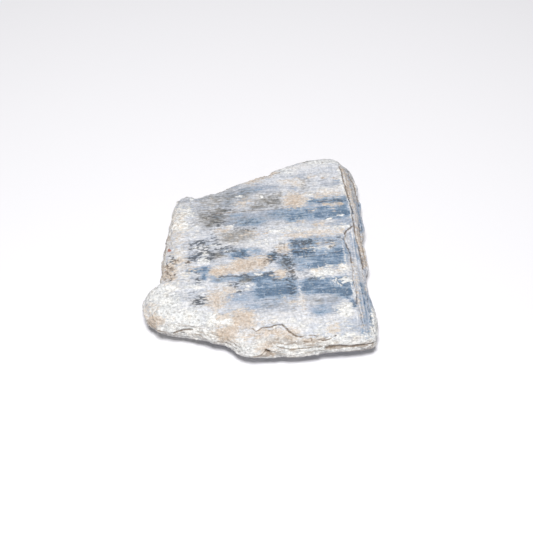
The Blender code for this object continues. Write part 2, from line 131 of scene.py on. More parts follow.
@dataclass(frozen=True)
class Line:
    """A fine broken line on the face.

    Args:
        points: The X and Y of the points that it runs through.
        half_width: Half of its width.
        level: How strong the stain is, from 0 to 1. A little over 1 widens its full strength.
    """

    points: tuple[tuple[float, float], ...]
    half_width: float = 0.2
    level: float = 1.0

    FADE = 4  # How many half widths away the line has faded.
    WAVER = 0.1  # How much of a patch's rough edge the line takes on.

    def cover(self, x: np.ndarray, y: np.ndarray, rough: np.ndarray, soft: float) -> np.ndarray:
        """Give how near each place is to the line.

        Args:
            x: The places' X.
            y: The places' Y.
            rough: How far the line is moved at each place.
            soft: How many times as wide as usual it fades.

        Returns:
            Values from 0, away from the line, to 1 on it. At the half width it is three quarters.
        """
        nearest = np.full(len(x), np.inf)
        for (start_x, start_y), (end_x, end_y) in zip(self.points, self.points[1:]):
            run_x, run_y = end_x - start_x, end_y - start_y
            share = ((x - start_x) * run_x + (y - start_y) * run_y) / (run_x * run_x + run_y * run_y)
            share = np.clip(share, 0.0, 1.0)
            away = np.hypot(x - start_x - share * run_x, y - start_y - share * run_y)
            nearest = np.minimum(nearest, away)
        reach = self.FADE * self.half_width * soft
        return np.clip(1 - (nearest + self.WAVER * np.abs(rough)) / reach, 0.0, 1.0)


@dataclass(frozen=True)
class Grain:
    """The size of a noise's grain along X, Y and Z. A height of 0 stands for the width.

    The detail is for the noises of the finishes: how many finer grains they have.
    """

    length: float
    width: float
    height: float = 0.0
    detail: float = 3.0

    def scaled(self, places: np.ndarray, shift: float = 0.0) -> np.ndarray:
        """Turn places, moved by the shift so that two noises differ, into units of the grain."""
        return (places + shift) / np.array((self.length, self.width, self.height or self.width))


class GradientNoise:
    """Smooth noise that is read at many places at once and is the same each run."""

    SIZE = 256
    GAIN = 1.6
    LAYER_STEP = 17.3
    LAYER_RANGE = 1.4
    RIDGE_SLOPE = 2.4
    RIDGE_STEP = 31.0
    RIDGE_SCALE = 2.1
    RIDGE_SHARE = 0.5

    def __init__(self, seed: int) -> None:
        """Shuffle the lattice and its slopes.

        Args:
            seed: The number that fixes the noise.
        """
        draw = np.random.default_rng(seed)
        self.order = draw.permutation(self.SIZE)
        slopes = draw.normal(size=(self.SIZE, 3))
        self.slopes = slopes / np.linalg.norm(slopes, axis=1, keepdims=True)

    def value(self, places: np.ndarray) -> np.ndarray:
        """Give the noise at each place.

        Args:
            places: Rows of X, Y and Z, in units of the noise's grain.

        Returns:
            Values from about -1 to 1.
        """
        cell = np.floor(places).astype(np.int64)
        inside = places - cell
        ease = inside ** 3 * (inside * (inside * 6 - 15) + 10)
        total = np.zeros(len(places))
        for corner in np.ndindex(2, 2, 2):
            step = np.array(corner)
            index = (cell + step) % self.SIZE
            first = self.order[index[:, 0]]
            second = self.order[(first + index[:, 1]) % self.SIZE]
            third = self.order[(second + index[:, 2]) % self.SIZE]
            rise = np.einsum("ij,ij->i", self.slopes[third], inside - step)
            weight = np.where(step == 1, ease, 1 - ease).prod(axis=1)
            total += rise * weight
        return total * self.GAIN

    def layered(self, places: np.ndarray, layers: int = 3) -> np.ndarray:
        """Give noise with finer grains laid over it.

        Args:
            places: Rows of X, Y and Z, in units of the coarsest grain.
            layers: How many grains there are, each half as long as the one before.

        Returns:
            Values from about -1 to 1.
        """
        total = np.zeros(len(places))
        for number in range(layers):
            total += self.value(places * 2.0 ** number + self.LAYER_STEP * number) * 0.5 ** number
        return total / self.LAYER_RANGE

    def ridged(self, places: np.ndarray) -> np.ndarray:
        """Give noise with sharp crests between round hollows.

        Args:
            places: Rows of X, Y and Z, in units of the noise's grain.

        Returns:
            Values from about -1 to 1, mostly above 0.
        """
        coarse = 1 - self.RIDGE_SLOPE * np.abs(self.value(places))
        fine = 1 - self.RIDGE_SLOPE * np.abs(self.value(places * self.RIDGE_SCALE + self.RIDGE_STEP))
        return (coarse + self.RIDGE_SHARE * fine) / (1 + self.RIDGE_SHARE)


def smooth(value: np.ndarray, low: float, high: float) -> np.ndarray:
    """Ease a value from 0 at low to 1 at high."""
    share = np.clip((value - low) / (high - low), 0.0, 1.0)
    return share * share * (3 - 2 * share)


def linear(red: int, green: int, blue: int) -> Colour:
    """Turn a colour as a screen shows it, 0 to 255, into the linear values that shaders take.

    Args:
        red: The red part.
        green: The green part.
        blue: The blue part.

    Returns:
        The linear colour, with full alpha.
    """
    def part(value: int) -> float:
        """Give one part's linear value, by the curve that all screens share."""
        share = value / 255
        return share / 12.92 if share <= 0.04045 else ((share + 0.055) / 1.055) ** 2.4

    return (part(red), part(green), part(blue), 1.0)


def areas(*rows: tuple[float, ...]) -> list[Patch]:
    """Make patches, each from a row of its fields in their order."""
    return [Patch(*row) for row in rows]


def lines(*rows: tuple) -> list[Line]:
    """Make lines, each from a row of its fields in their order."""
    return [Line(*row) for row in rows]


# How blue the skin is where no blue area lies.
BARE_BLUE = 0.32

# How many times as wide as its own edge each stain's areas fade. The others keep their edge.
SOFTNESS: dict[Stain, float] = {
    Stain.BLUE: 1.3, Stain.OLIVE: 1.5, Stain.CLAY: 2.4, Stain.CHALK: 1.8, Stain.SPECKLE: 1.5,
}

# The areas of each stain on the slab's upper face, its front and its right side, laid out on the level
# of the upper face as they are seen from above the front. Later blue areas cover earlier ones.
TOP_PATCHES: dict[Stain, list[Patch | Line]] = {
    Stain.BLUE: areas(
        (4, 27.5, 16.5, 32, 0.28, 3), (-12, 27, -22, 14, 0.34, 3), (17, 25.5, 24.8, 28.5, 0.36, 1.6),
        (16, 25.2, 19.4, 22.2, 0.42, 1.4), (21.5, 25, 20, 21.6, 0.52, 1), (9, 13, 20.2, 21.6, 0.42),
        (10.8, 15.6, 23.7, 24.7, 0.66, 0.8), (22.8, 24.6, 21.7, 22.3, 0.8, 0.5),
        (11.2, 12.4, 19.5, 21, 0.58, 0.7), (3.5, 7.8, 19.2, 22, 0.52, 1.4),
        (14.8, 26.4, 13.6, 16, 0.86, 1), (18.4, 21.8, 14.2, 15.3, 1, 0.7),
        (21.8, 26.2, 13.9, 15.7, 1, 0.9), (8, 26.8, 8, 13, 0.92), (14.4, 22, 8.4, 11, 1, 1),
        (22, 26.6, 8, 12, 0.98, 1), (9.4, 14.4, 10.2, 12.8, 0.86), (1, 9, 9, 12.9, 0.74, 1.6),
        (4.8, 8.4, 10.4, 12.6, 0.84), (20, 26.6, 5.8, 8.4, 0.62), (11.5, 20.5, 6, 8.2, 0.48, 1.4),
        (9.2, 23.8, -1.8, 2.5, 0.74), (9.2, 23.5, -8.4, -1.6, 0.82), (19.8, 23.2, -4.6, -1.4, 0.92, 1),
        (13.6, 22.6, -6.8, -3, 0.86), (2.4, 5, -4.2, -1.6, 1.05, 0.9, 42), (5.2, 9, -7.8, -2.2, 0.82),
        (20.6, 22.8, -18.4, -14.2, 1, 0.9), (-8, -1.4, -16.8, -13.6, 0.64, 1.4),
        (10.6, 20.6, -19.6, -16.4, 0.5), (11.8, 18.8, -22.8, -18.8, 0.58, 1.4),
        (12.6, 16.6, -22.2, -20, 0.8, 1, 24), (18, 25, -30, -24, 0.5, 2),
        (24, 28.6, -31.4, -16.4, 0.7, 1), (24, 28.2, -16.4, 5, 0.36, 1),
        (25.6, 27.6, -28, -17.2, 0.74, 0.8), (25.3, 26.6, -17.2, -13.6, 0.86, 0.7),
        (25.4, 26.6, -6.5, 1.4, 0.76, 0.8), (28.2, 29.8, 3, 14, 0.78, 0.8),
        (26.2, 27.6, -31, -27.6, 0.7, 0.8), (22.6, 23.6, -21.4, -19.6, 1.05, 0.6),
        (22.2, 24, -21.6, -19, 0.98, 0.8), (-24.5, -16, -14.4, -12.4, 0.36, 1.4),
        (-20, -15.5, -19.8, -16.2, 0.3, 2), (-21, -15, 12, 20, 0.42, 1.6),
        (-16, -10.6, 4.6, 8.6, 0.36, 1.6), (-16.8, -12.2, 2.2, 3.6, 0.6, 0.9),
        (-9.4, -2.6, -0.8, 1, 0.72, 0.9, 12), (-7.4, -1.8, -3.2, -0.4, 0.88, 1.1),
        (-2, 1.6, -2.6, 0.4, 0.7, 1), (-17.4, -11.6, -2.2, 1.2, 0.5, 1, 30),
        (-13, -10.6, 3.6, 5.4, 0.6, 0.9), (-22, -17, -2, 4, 0.34, 1.6),
        (-15, 0.5, 13.6, 21.6, 0.44, 2.5, 8), (-7.8, -5.2, 15.4, 17.8, 0.74, 1.2, 14),
        (-3, 3.6, 19.2, 21.6, 0.74, 1.4, 10), (-6.4, -3.8, 17.6, 19.4, 0.6),
        (-7.4, 3, 7.6, 12.8, 0.6, 1.8), (-4.4, 2.4, 7.4, 10.6, 0.84, 1.4), (-2.8, -0.4, 7.4, 9.4, 1, 0.9),
        (-5, -2.8, 10.4, 12.4, 0.7), (-11, -7.8, 10.2, 12.4, 0.6), (-16, -10.6, 4.6, 8.6, 0.4, 1.6),
        (-17.8, -10.4, -3.4, 4.2, 0.5, 1.8, 14), (-6.4, -1.8, -2.8, -0.2, 1.1, 0.9),
        (-8.8, -5, -1.4, 0.2, 0.7, 0.8, 4), (-18, -11.8, -7, -5.3, 0.98, 0.8, 3),
        (-14.8, -13, -9.4, -5.6, 1, 0.7), (-17.4, -14.8, -9.8, -7, 0.5),
        (-12.8, -5, -10.4, -7.8, 0.8, 0.7), (-5.6, 3.8, -11.2, -7.8, 0.82, 0.7),
        (-8, -2, -14.6, -10.8, 0.5, 1), (9, 24, -8.2, 1.8, 0.82), (9, 16, -1.8, 2, 0.78, 1),
        (15.6, 23.6, -1.4, 2, 0.64, 1), (9.2, 15, -4.2, -1.6, 1.06, 0.8), (13.6, 22.6, -6.6, -3, 0.92),
        (19.8, 23, -4.2, -1.2, 1.02, 0.9), (9.4, 13, -7.8, -4.4, 0.8, 1),
        (10.6, 14.6, 0.4, 1.8, 0.95, 0.7), (-1.8, 9.6, -17.6, -9.6, 1, 0.9),
        (0.8, 3.8, -10.2, -8, 1.1, 0.7), (-0.6, 4.6, -14, -10.6, 0.94, 1.4),
        (9.9, 20.6, -16.4, -10.7, 0.95, 0.9), (18.2, 20.6, -16.8, -14, 1.12, 0.8),
        (20.2, 23, -18.2, -14.6, 1.06, 0.8), (18.4, 23.6, -14.8, -10.8, 0.9, 1),
        (6.2, 8.8, -14.6, -13.6, 1.15, 0.5), (-8.2, -1.6, -17, -14.4, 0.72, 1.4),
        (-12, 9.6, -20.6, -16.8, 0.46, 1.8), (-8.2, -1.6, -17, -14.4, 0.72, 1.4), (-5, 5, -19, -17, 0.7),
        (-9.6, 0.5, 1, 6.8, 0.24, 2), (-12.6, -8.6, 12.6, 20, 0.34, 2, 8),
        (9.4, 15, -3.5, -1.7, 1.05, 0.7), (9, 10, -16.6, -10.6, 0.72, 0.6), (9, 16.4, -1.4, 1.8, 0.86, 1),
        (-7, 9.5, -30, -25.6, 0.18, 1.4),
    ),
    Stain.OLIVE: areas(
        (13.2, 16.4, 18.4, 23.8, 0.42, 1.4), (15.6, 17.6, 29, 30.2, 0.8, 0.8),
        (26.2, 29.6, 13, 27, 0.44, 1.4), (26.8, 28.8, -9, 5, 0.5, 1), (5.4, 9, -7.8, -3.8, 0.5),
        # On the next line, the first area, at X -27.5 to -18.5 and Y -25.6 to -22, is painted shade where
        # the lobe curves down at its front.
        (-27.5, -18.5, -25.6, -22, 0.42, 1.6), (-17.8, -14.2, -17.8, -14.8, 0.5),
        (-28, -18, -21, -12, 0.12, 3), (10.8, 20, -19.4, -16.6, 0.25, 1.4),
        (18.4, 24.4, -29.6, -24.6, 0.2, 2), (-24, -18, -2, 6, 0.22, 2),
        (-14.6, -3, 13.8, 20.6, 0.5, 3.5, 8), (-9.6, -5.8, 12.8, 14.6, 0.8),
        (-9, 1, 12.8, 13.7, 0.6, 0.9), (-1, 4, 12.8, 15.6, 0.66, 1.6), (5.6, 8.4, 14.6, 18.8, 0.64, 2.2),
        (-3, 5, 15.5, 19, 0.4, 2.5), (-9.4, 0.5, 1.8, 6.6, 0.5, 2.4, 4), (-5, 1, 5.8, 7.2, 0.5, 1),
        (-8, 10, 8.6, 13, 0.3, 3), (-16.5, -12.8, 9, 13.5, 0.4, 2.2), (0, 8, 6.4, 9, 0.3, 2),
        # On the next line, the first area is painted shade on the blue below the clay's lower edge.
        (-5.2, -1.4, -11.2, -9, 0.66, 0.9), (-12, -8.6, -10.2, -8.6, 0.36, 0.9),
        # On the next line, the first area is more painted shade where the lobe curves down at its front.
        (-26.4, -21.4, -24.8, -22.2, 0.46), (-23.9, -23.3, -21.9, -21.2, 0.8, 0.5),
        (-10, 1, 1.4, 7, 0.3, 2.4, 4), (-18, -12, 7, 12, 0.24, 2.4),
        (-15.5, -6, 8.4, 15.2, 0.66, 3.6, 14), (-13.6, -8, 8.4, 11.4, 0.82, 2, 8),
        (-12.6, -9.6, 8.2, 9.6, 0.85, 1.3), (-15.5, 2, 13.4, 21.4, 0.46, 3.2, 9),
        (-9.8, -0.4, 1.6, 6.8, 0.6, 2.2, 4), (-12.8, -8.2, -3, 0.2, 0.62, 1.5),
        (-11.2, -8.8, -2.4, -0.4, 0.85, 1.1), (3.4, 8.6, 13.4, 18.2, 0.6, 1.8, -14),
        (-1, 6, 15.6, 18.6, 0.4, 2.6, 10), (10.6, 19.6, -19.6, -16.6, 0.4, 1.6),
        (-1, 9, -20.4, -17, 0.34, 1.8), (-20, -14.6, 15, 19, 0.36, 2), (13, 16.2, -10.8, -9.8, 0.5, 0.8),
        (-8.6, 0, 3, 6.8, 0.7, 1.8, 4), (1, 8.6, 13.4, 18.6, 0.68, 2.6, -6),
        (-9, 0.5, 7.4, 12.4, 0.36, 2.4),
    ),
    Stain.CLAY: areas(
        (8.4, 14.8, 13, 18.4, 0.92, 1.5), (17, 19.4, 15.4, 18.4, 0.82), (19.2, 24.8, 16, 18.5, 0.74, 1.4),
        (18.8, 24.2, 12.9, 13.9, 0.88, 0.7), (14.8, 17.6, 10.9, 12.4, 0.66, 0.9),
        (20.2, 22.4, 11.4, 12.7, 0.56, 0.8), (16.4, 18.2, 23.4, 24.4, 0.85, 0.7),
        (19.8, 22.2, 22.8, 23.6, 0.8, 0.6), (21.8, 24.8, 22.3, 23.1, 0.7, 0.6),
        (7.6, 14.6, 21.4, 23.6, 0.56, 1.4), (10.8, 13.4, 20.4, 23.2, 0.62, 1),
        (-1, 8, 23.6, 26.2, 0.82, 1.2, 22), (8.4, 10.4, 6.8, 8.6, 0.5, 0.9),
        (11.4, 14.2, 7.4, 8.8, 0.64, 1), (16, 19.4, 5.2, 7.6, 0.78), (21.6, 23.4, 5.4, 6.8, 0.6, 0.8),
        (6.6, 24, 2.5, 5.2, 0.66, 1.3), (8.8, 13.2, 2.2, 4.6, 0.82, 1), (18.8, 23.8, 2.8, 4.4, 0.74, 1),
        (12.6, 15.2, 2.8, 4, 0.8, 0.9), (2, 3.6, 4, 5.6, 0.85, 0.8), (5, 9.2, -2.6, 0.9, 0.76, 1.4),
        (-12.4, -4, -8.2, -5, 0.96, 1.2, 5), (-6.8, 0.2, -7.9, -2.9, 0.98, 1.3, 5),
        (-1.6, 3.6, -6.9, -2.4, 0.92, 1.3), (2.8, 7.8, -10.2, -7.2, 0.78, 1.3),
        (-13.8, -8.8, -19.2, -12.4, 0.9, 1.8), (-9.6, -6.2, -15.4, -11.6, 0.72, 1.4),
        (-7.8, -2.2, -22.6, -19.3, 0.85, 1.4), (-12, -8.4, -22.4, -20, 0.85, 1),
        (-6.8, -1.4, -25.2, -22.2, 0.78, 1.6), (-12.4, -5.8, -29.6, -24.4, 0.74, 2.2),
        (-2.8, 6.2, -28.6, -25.4, 0.6, 0.9), (-2.6, 2.4, -33.6, -29.6, 0.8, 1.4, 35),
        (4.6, 9, -30.2, -28, 0.72, 1, -22), (8.6, 15, -31, -29.2, 0.82, 0.9),
        (15.2, 19.8, -29.6, -24.8, 0.58, 1.6), (-1, 1.6, -34, -32.4, 0.85, 0.9),
        (-4, 3.4, -25, -22.6, 0.6, 1.4), (5, 9.6, -20, -15.4, 0.5, 2.2),
        (9, 11.4, -24.4, -15.8, 0.52, 1.4), (-25.6, -20.4, -9.6, -2.8, 0.85, 1.4),
        (-30.5, -26.4, -23.5, -15, 0.66, 2), (-19, -15, -6.8, -3.8, 0.56, 1.4),
        (26, 27.4, 15, 26.5, 0.9, 0.8, 3), (26.9, 28, 2, 15, 0.8, 0.8), (27.1, 28.6, -9.4, 3, 0.9, 0.8),
        (24, 25.2, -28, -6, 0.6, 0.7), (-10.2, -6, 6.8, 8, 0.7, 0.8), (-9.4, -4, 4, 5.8, 0.5),
        (-4, 2.4, 4.2, 6, 0.6, 1), (-21.8, -17.2, -3.7, -1.9, 0.85, 1), (-24.6, -21.6, 3.6, 6.6, 0.66),
        (-24.8, -22.8, -2.4, 2.6, 0.5), (-18, -14, 14.2, 15.8, 0.4), (4, 9.2, -9.8, -7.2, 0.6, 1),
        (15, 21, 0.2, 1.8, 0.5), (-12.6, -9, -27.6, -23.4, 0.9),
        (-29.6, -25.6, -24.4, -18.4, 0.8, 1.4, -40), (-25, -16, -9, 18, 0.42, 3),
        (-16, -9, 13.4, 19.4, 0.3, 2), (-10, 2, 2, 7, 0.36, 2), (-4.6, 1, 14.2, 17.6, 0.56, 1.6, 8),
        (-22, -19, 5, 8, 0.6, 1), (-20.6, -17.6, -3.4, -1.8, 0.8, 1), (-23.4, -20.6, 8.4, 10.6, 0.55, 1),
        (9.2, 15.6, -1.5, -0.7, 0.62, 0.7), (13, 16, -9.2, -7.8, 0.6, 0.9),
        (-6, 4, -29.4, -26, 0.74, 1.6), (15, 22, -9.8, -7.4, 0.5), (-12.6, -6, -29, -23.6, 0.95, 1.4, 12),
        (-8.2, -1.8, -25.6, -19.4, 0.95, 1.6), (-29.8, -25.4, -24.6, -18.6, 0.95, 1.2, -40),
        (9.4, 15.4, -0.6, 0.6, 0.5, 0.8), (15.6, 22.4, -1.2, 1.2, 0.48, 1), (-1, 8, -28.8, -25.8, 0.82),
        (-10.4, -6.4, 6.2, 7.4, 0.7, 0.7),
    ),
    Stain.CHALK: areas(
        (15, 17, 16.2, 18, 0.72, 0.9), (16, 25.6, 27.8, 30.6, 0.72, 1.8),
        (24.7, 26.5, 16.6, 26.4, 0.72, 0.9), (25.8, 27.2, 7.6, 17, 0.52, 0.7),
        (5.2, 13, 24.2, 28.6, 0.55, 1.8), (17, 24.6, 18.4, 19.6, 0.55, 0.9),
        (19.6, 23.8, 17, 18, 0.56, 0.9), (3.4, 12.4, 4.2, 6.6, 0.64, 1.4),
        (12, 24.2, 3.8, 5.6, 0.56, 1.4), (-3, 8.4, 0.2, 3.8, 0.5, 2), (20.4, 26, 4.2, 6.6, 0.62, 1),
        (13.8, 20, -2.7, 0, 0.54), (13.4, 19.8, -10.8, -7.8, 0.94, 1.1, 4),
        (17.4, 19.6, -8.6, -6.9, 0.9, 0.9), (20.2, 23.2, -9.8, -7.1, 0.94, 0.9),
        (21, 23.6, -13.4, -11.4, 1, 0.7), (-0.8, 0.9, -9.2, -8.1, 1, 0.5), (1.8, 3.8, -8, -7, 0.66, 0.7),
        (-7.4, -3, -13.5, -12.9, 0.9, 0.4, 2), (-7.6, -5, -12.5, -12.1, 0.6, 0.4),
        (-6.2, -3.6, -14.9, -14.4, 0.5, 0.4), (-3.8, -1.6, -12, -11.5, 0.7, 0.5, 28),
        (19, 23.2, -24, -19.4, 0.86, 1.3), (2.8, 12.2, -27.6, -23, 0.5, 2),
        (-1.4, 8.2, -25, -22.2, 0.56, 1.5), (12, 22, -29.4, -23.8, 0.52, 2.2),
        (10, 27.5, -31.4, -28.6, 0.72, 1.4), (-14.8, -7.2, -24.4, -21.4),
        (-14.4, -10.4, -23.2, -19.6, 0.95), (-16.5, -9.8, -27.4, -24, 0.84, 1.4),
        (-24, -14, -25.5, -17.6, 0.82, 2.6), (-30.5, -22, -24, -9, 0.72, 3),
        (-30.5, -20, -13, -9, 0.7, 1.6), (-20, -14, -12.4, -9.6, 0.5, 1.6),
        (1.9, 3.3, 17.3, 18.1, 0.9, 0.5), (-20.5, -16.5, -9.2, -5.4, 0.55, 1.6),
        (-9, -3, -12.4, -10.8, 0.5, 1), (-4, 1, -32, -26.6, 0.5, 1.8), (3.5, 9, -31.6, -29.4, 0.8, 0.9),
        (-8.5, -3.6, -30.8, -26.6, 0.62, 1.6), (14.5, 16.2, 14.6, 16.2, 0.5, 0.8),
        (-21.8, -17.2, 7.2, 11.8, 0.95), (-20.4, -15, 11.6, 16, 0.7, 1.6),
        (-16.6, -15.4, 18, 19.4, 0.8, 0.7), (-6.6, -5.2, 7.2, 8.6, 1.1, 0.5),
        (-12.6, -6, 0.9, 2.6, 0.5, 0.8), (-15.2, -12.8, -4.3, -2, 1.05, 0.7),
        (-17.6, -14, 3.6, 7, 0.5, 1.6), (-14.6, -12, -1.6, -0.4, 0.8, 0.7, 30),
        (-16.6, -12.4, 1.2, 1.9, 0.8, 0.5), (-4.2, -2.2, 17.9, 18.9, 0.8, 0.6),
        (-24.4, -18, -7.5, 7, 0.42, 2), (-8.6, -4, -1, 0, 0.5, 0.6), (-3, 8.4, 0.2, 3, 0.46, 1.6),
        # On the next line, the two thin strips at X 19.1 to 25 and Y 8 to 9.6 are painted highlights:
        # glints of light on the blades, laid as crust.
        (-17, -14, 6.6, 9, 0.6), (22.9, 25, 9.2, 9.6, 1.25, 0.3), (19.1, 20.3, 8, 8.6, 1.2, 0.35),
        (-28, -20, -22, -12, 0.8, 3), (-22.4, -17, 6, 17, 0.6, 1.6), (-0.9, 0.7, -9, -8.2, 1.2, 0.4),
    ) + lines(
        (((19.4, -11.6), (19.7, -12.8), (20.3, -14.2)), 0.08, 0.9),
    ),
    Stain.SPECKLE: areas(
        (21.6, 23.6, 0.4, 2.3, 0.9, 0.7), (6.6, 9.4, -16.8, -10, 0.74), (18.2, 26.4, 13.7, 16, 0.66),
        (22, 24.8, 14, 15.4, 0.85, 0.8), (15.4, 17, 21.6, 23, 0.5, 0.8),
        (18.8, 20.6, 21.8, 23.2, 0.56, 0.8), (7.6, 8.6, 18.2, 19.2, 0.7, 0.9),
        (5.4, 8.6, 14, 19, 0.6, 1.4), (-17.8, -14.2, -17.6, -15, 0.86, 1),
        (-19.8, -17.4, -14.8, -13, 0.5, 1), (-16.4, -15.4, -10.8, -9.6, 0.95, 0.5),
        (-18.6, -15, -10.2, -8, 0.6), (-7.8, -4.2, -12.3, -10.7, 0.72, 0.8),
        (-12.4, -7.8, -12.6, -10.2, 0.5), (20, 24.2, -18.6, -13.6, 0.5),
        (22.6, 24.2, -21, -18.6, 0.7, 0.7), (-5, 3, -18.6, -16.4, 0.45, 1),
        (-14.5, -9.5, -29, -25.2, 0.4, 1.4), (-11, -8.2, 9, 10.2, 0.8, 0.8),
        (-22.6, -20.8, -3.4, -1.6, 0.9, 0.6), (-20.5, -14, 12, 18.5, 0.3, 2),
        (-11.4, -7.6, 12.8, 14.2, 0.5, 0.8), (-18.4, -9.8, -3.2, 4.4, 0.5, 2.4),
        (9, 15.8, -0.8, 2, 0.98, 1), (14.6, 21.6, -1, 1.4, 0.7, 1.4), (18.6, 20.8, -2.6, -0.4, 0.8, 0.8),
        (5.4, 9, -5.2, -2.4, 0.95, 1), (5, 9.4, -7.2, -4.8, 0.72, 1), (3.8, 9.4, -9.9, -7.2, 0.6, 1),
        (10.4, 13.6, -10.4, -8.6, 0.7, 0.9), (1, 3.6, -9.8, -8.2, 0.6, 0.8), (5.4, 9, -0.6, 1.6, 0.7, 1),
        (-13.6, -7.6, 7.8, 14, 0.62, 2), (9.2, 15.2, -3.4, -1.7, 0.7, 0.7), (10, 15, 0.3, 1.9, 1.15, 0.7),
        (6.4, 9.8, -16.6, -9.8, 0.82, 1), (5.2, 9, -7.2, -3, 0.86, 1),
        (11, 14.6, -11.6, -10.6, 0.75, 0.7), (-8, -3.6, -12.2, -10.4, 0.74, 0.8),
        (15.2, 22, -0.8, 1.8, 0.74), (-25, -21.2, -9, -3, 0.62), (-23, -21.8, -7, -6, 0.9, 0.6),
        (9, 16.4, -3.6, 2, 0.72), (4, 9.4, -5, -1.6, 0.8),
    ) + lines(
        (((-9.4, 9.6), (-8.2, 9.2)), 0.35, 1.1), (((-10.6, 8.8), (-8.8, 8.5)), 0.25),
        (((-4.8, 6.9), (-2.6, 6.6), (0.2, 6.8)), 0.22, 0.9), (((-11.4, 5.6), (-10.6, 3.4)), 0.4, 0.9),
        (((-10.6, 4), (-9.6, 3.2)), 0.3, 0.9), (((-7.6, 13.6), (-5.6, 13.7)), 0.3, 0.9),
        (((-16.7, 2.6), (-14.8, 2.9), (-12.6, 3.1)), 0.28, 1.3),
        (((-15.6, 3.6), (-13.4, 3.8)), 0.18, 1.15), (((-17.2, 1), (-15, 1.3)), 0.22, 1.2),
        (((-14.8, 0.2), (-12.9, 0.6)), 0.22, 1.15), (((-12.8, 1.7), (-12.4, 0.7)), 0.26, 1.25),
        (((-17.3, -2), (-15.6, -1.2), (-14, -0.4)), 0.34, 1.3),
        (((-16.9, -2.7), (-15.7, -2.4)), 0.22, 1.2), (((-12.5, -0.2), (-11.7, -1.5)), 0.42, 1.3),
        (((-13, -2.5), (-11.4, -2.4)), 0.3, 1.25), (((-10, 0.5), (-8, 0.8), (-6.3, 0.9)), 0.22, 1.3),
        (((-8.6, -0.8), (-5.4, -0.5)), 0.26, 1.1), (((-3.7, -0.5), (-3.2, -2.3)), 0.36, 0.95),
        (((-11, 2.4), (-9.6, 2)),), (((-18.6, -3.6), (-17.6, -3.2)), 0.24, 1.1),
        (((-21.6, -1.8), (-21.2, -2.5)), 0.4, 1.3), (((-22.6, -0.8), (-22.3, -1.8)), 0.22),
        (((-15.6, -9), (-15.2, -9.8)), 0.28, 1.3), (((-17.6, -6.5), (-15.4, -6.8)), 0.22),
        (((-7.2, -11.5), (-4.6, -11.4)), 0.22, 1.25), (((-6.9, -12.2), (-5.4, -12.2)), 0.16, 1.1),
        (((-6.8, -14), (-4.6, -13.8)), 0.22, 1.1), (((-7.6, -10.6), (-4.6, -10.4)), 0.18),
        (((-15.6, -14.6), (-14.4, -15.5)), 0.4, 1.1), (((-16.6, -15.6), (-15, -16.4)), 0.45, 1.2),
        (((-24, -13.6), (-20, -13.3), (-16.8, -13)), 0.3, 0.62),
        (((9.3, -2.2), (11.8, -2.3), (14.4, -2.1)), 0.26, 1.2),
        (((4.9, -1.9), (4.1, -2.9), (3.3, -4.3)), 0.55, 1.2),
        (((8.2, -4.4), (8.5, -6.4), (8.4, -8.8)), 0.4, 1.2), (((8, -10), (8.6, -10.4)), 0.4, 1.3),
        (((3.4, -10.8), (5, -10.9), (7, -10.8)), 0.2, 1.15), (((13.2, -10.9), (14.9, -11.2)), 0.3, 1.2),
        (((-24.3, -3.8), (-24, -6.4), (-24.2, -8.6)), 0.16),
        (((-23.3, -3), (-22.7, -6.2), (-22.9, -9)), 0.2, 1.1), (((-22.1, -4.6), (-21.5, -7.4)), 0.16),
        (((8.1, -4.6), (8.3, -6.6), (8.2, -9.4)), 0.5, 1.25),
    ),
    Stain.CRACK: lines(
        (((-3, -25.3), (-2.1, -26.4), (-1.2, -26), (-0.7, -25.5), (0, -25.3), (0.9, -25.5),
          (1.9, -25.4), (2.6, -25), (4.4, -25)), 0.16, 0.95),
        (((4.4, -25), (4.9, -25.6), (5.5, -26.4), (6, -27.5), (6.7, -28), (7.6, -28.7),
          (8.7, -29)), 0.24),
        (((8.7, -29), (9.8, -28.8), (12.1, -28.9), (12.8, -29.3)), 0.14, 0.95),
        (((13.8, -30.6), (15, -30.5), (16, -30.2), (16.8, -29.7), (17.5, -29.3)), 0.18),
        (((11.1, -29.6), (11.3, -30.4)), 0.14), (((8.9, -30.3), (10.4, -30.8)), 0.12, 0.9),
        (((2.7, -31.5), (3.7, -32), (5.5, -32.6), (9.6, -32.6), (13.7, -32.5)), 0.14, 0.95),
        (((14.8, -32.8), (16.4, -32.6), (18, -32.6), (20.6, -33), (22.4, -32.9)), 0.34),
        (((22.4, -32.9), (25.3, -32.8), (26.6, -32.5)),), (((-0.1, -32.4), (0.5, -32.6)), 0.36),
        (((-1.8, -33.8), (-0.6, -32.9), (0.2, -32.5)), 0.12, 0.9),
        (((-22.8, -25.3), (-21.7, -24.9), (-20.5, -24.5), (-19, -24.4), (-18, -24.6)), 0.24),
        (((-22.6, -25.6), (-20, -25.3)), 0.1, 0.9),
        # The next line is a crack at the foot of the top plate's right edge, darkened also as painted
        # shadow of that edge.
        (((25.4, 27), (25.85, 25.2), (25.85, 21.8), (26.2, 17.5), (26.6, 14.1), (26.75, 9.7), (26.7, 6),
          (26.8, 1.8), (27, -0.3), (27.15, -4.6), (27.2, -9.3)), 0.22),
        (((27.9, 23.3), (28.9, 20.3), (29.1, 17.3), (29.3, 15.1), (29.3, 12.5)), 0.18),
        (((28.4, 6), (28.1, 2.4), (28.2, -2), (28.4, -7.2)), 0.16, 0.95),
        (((26.1, 5.2), (25, 4.2), (24.2, 3.4), (23.8, 2.9)), 0.24),
        (((23.6, 1.4), (23.85, 0), (24.05, -1.6), (24.25, -3.3), (24.45, -5.2), (24.5, -6.8)),),
        (((24.5, -6.8), (24.2, -10.5), (23.8, -13), (24.2, -16), (24.1, -19.7)), 0.12, 0.92),
        (((24, -19.3), (24, -19.9)), 0.26), (((24.3, -21.5), (24.7, -27)), 0.11, 0.9),
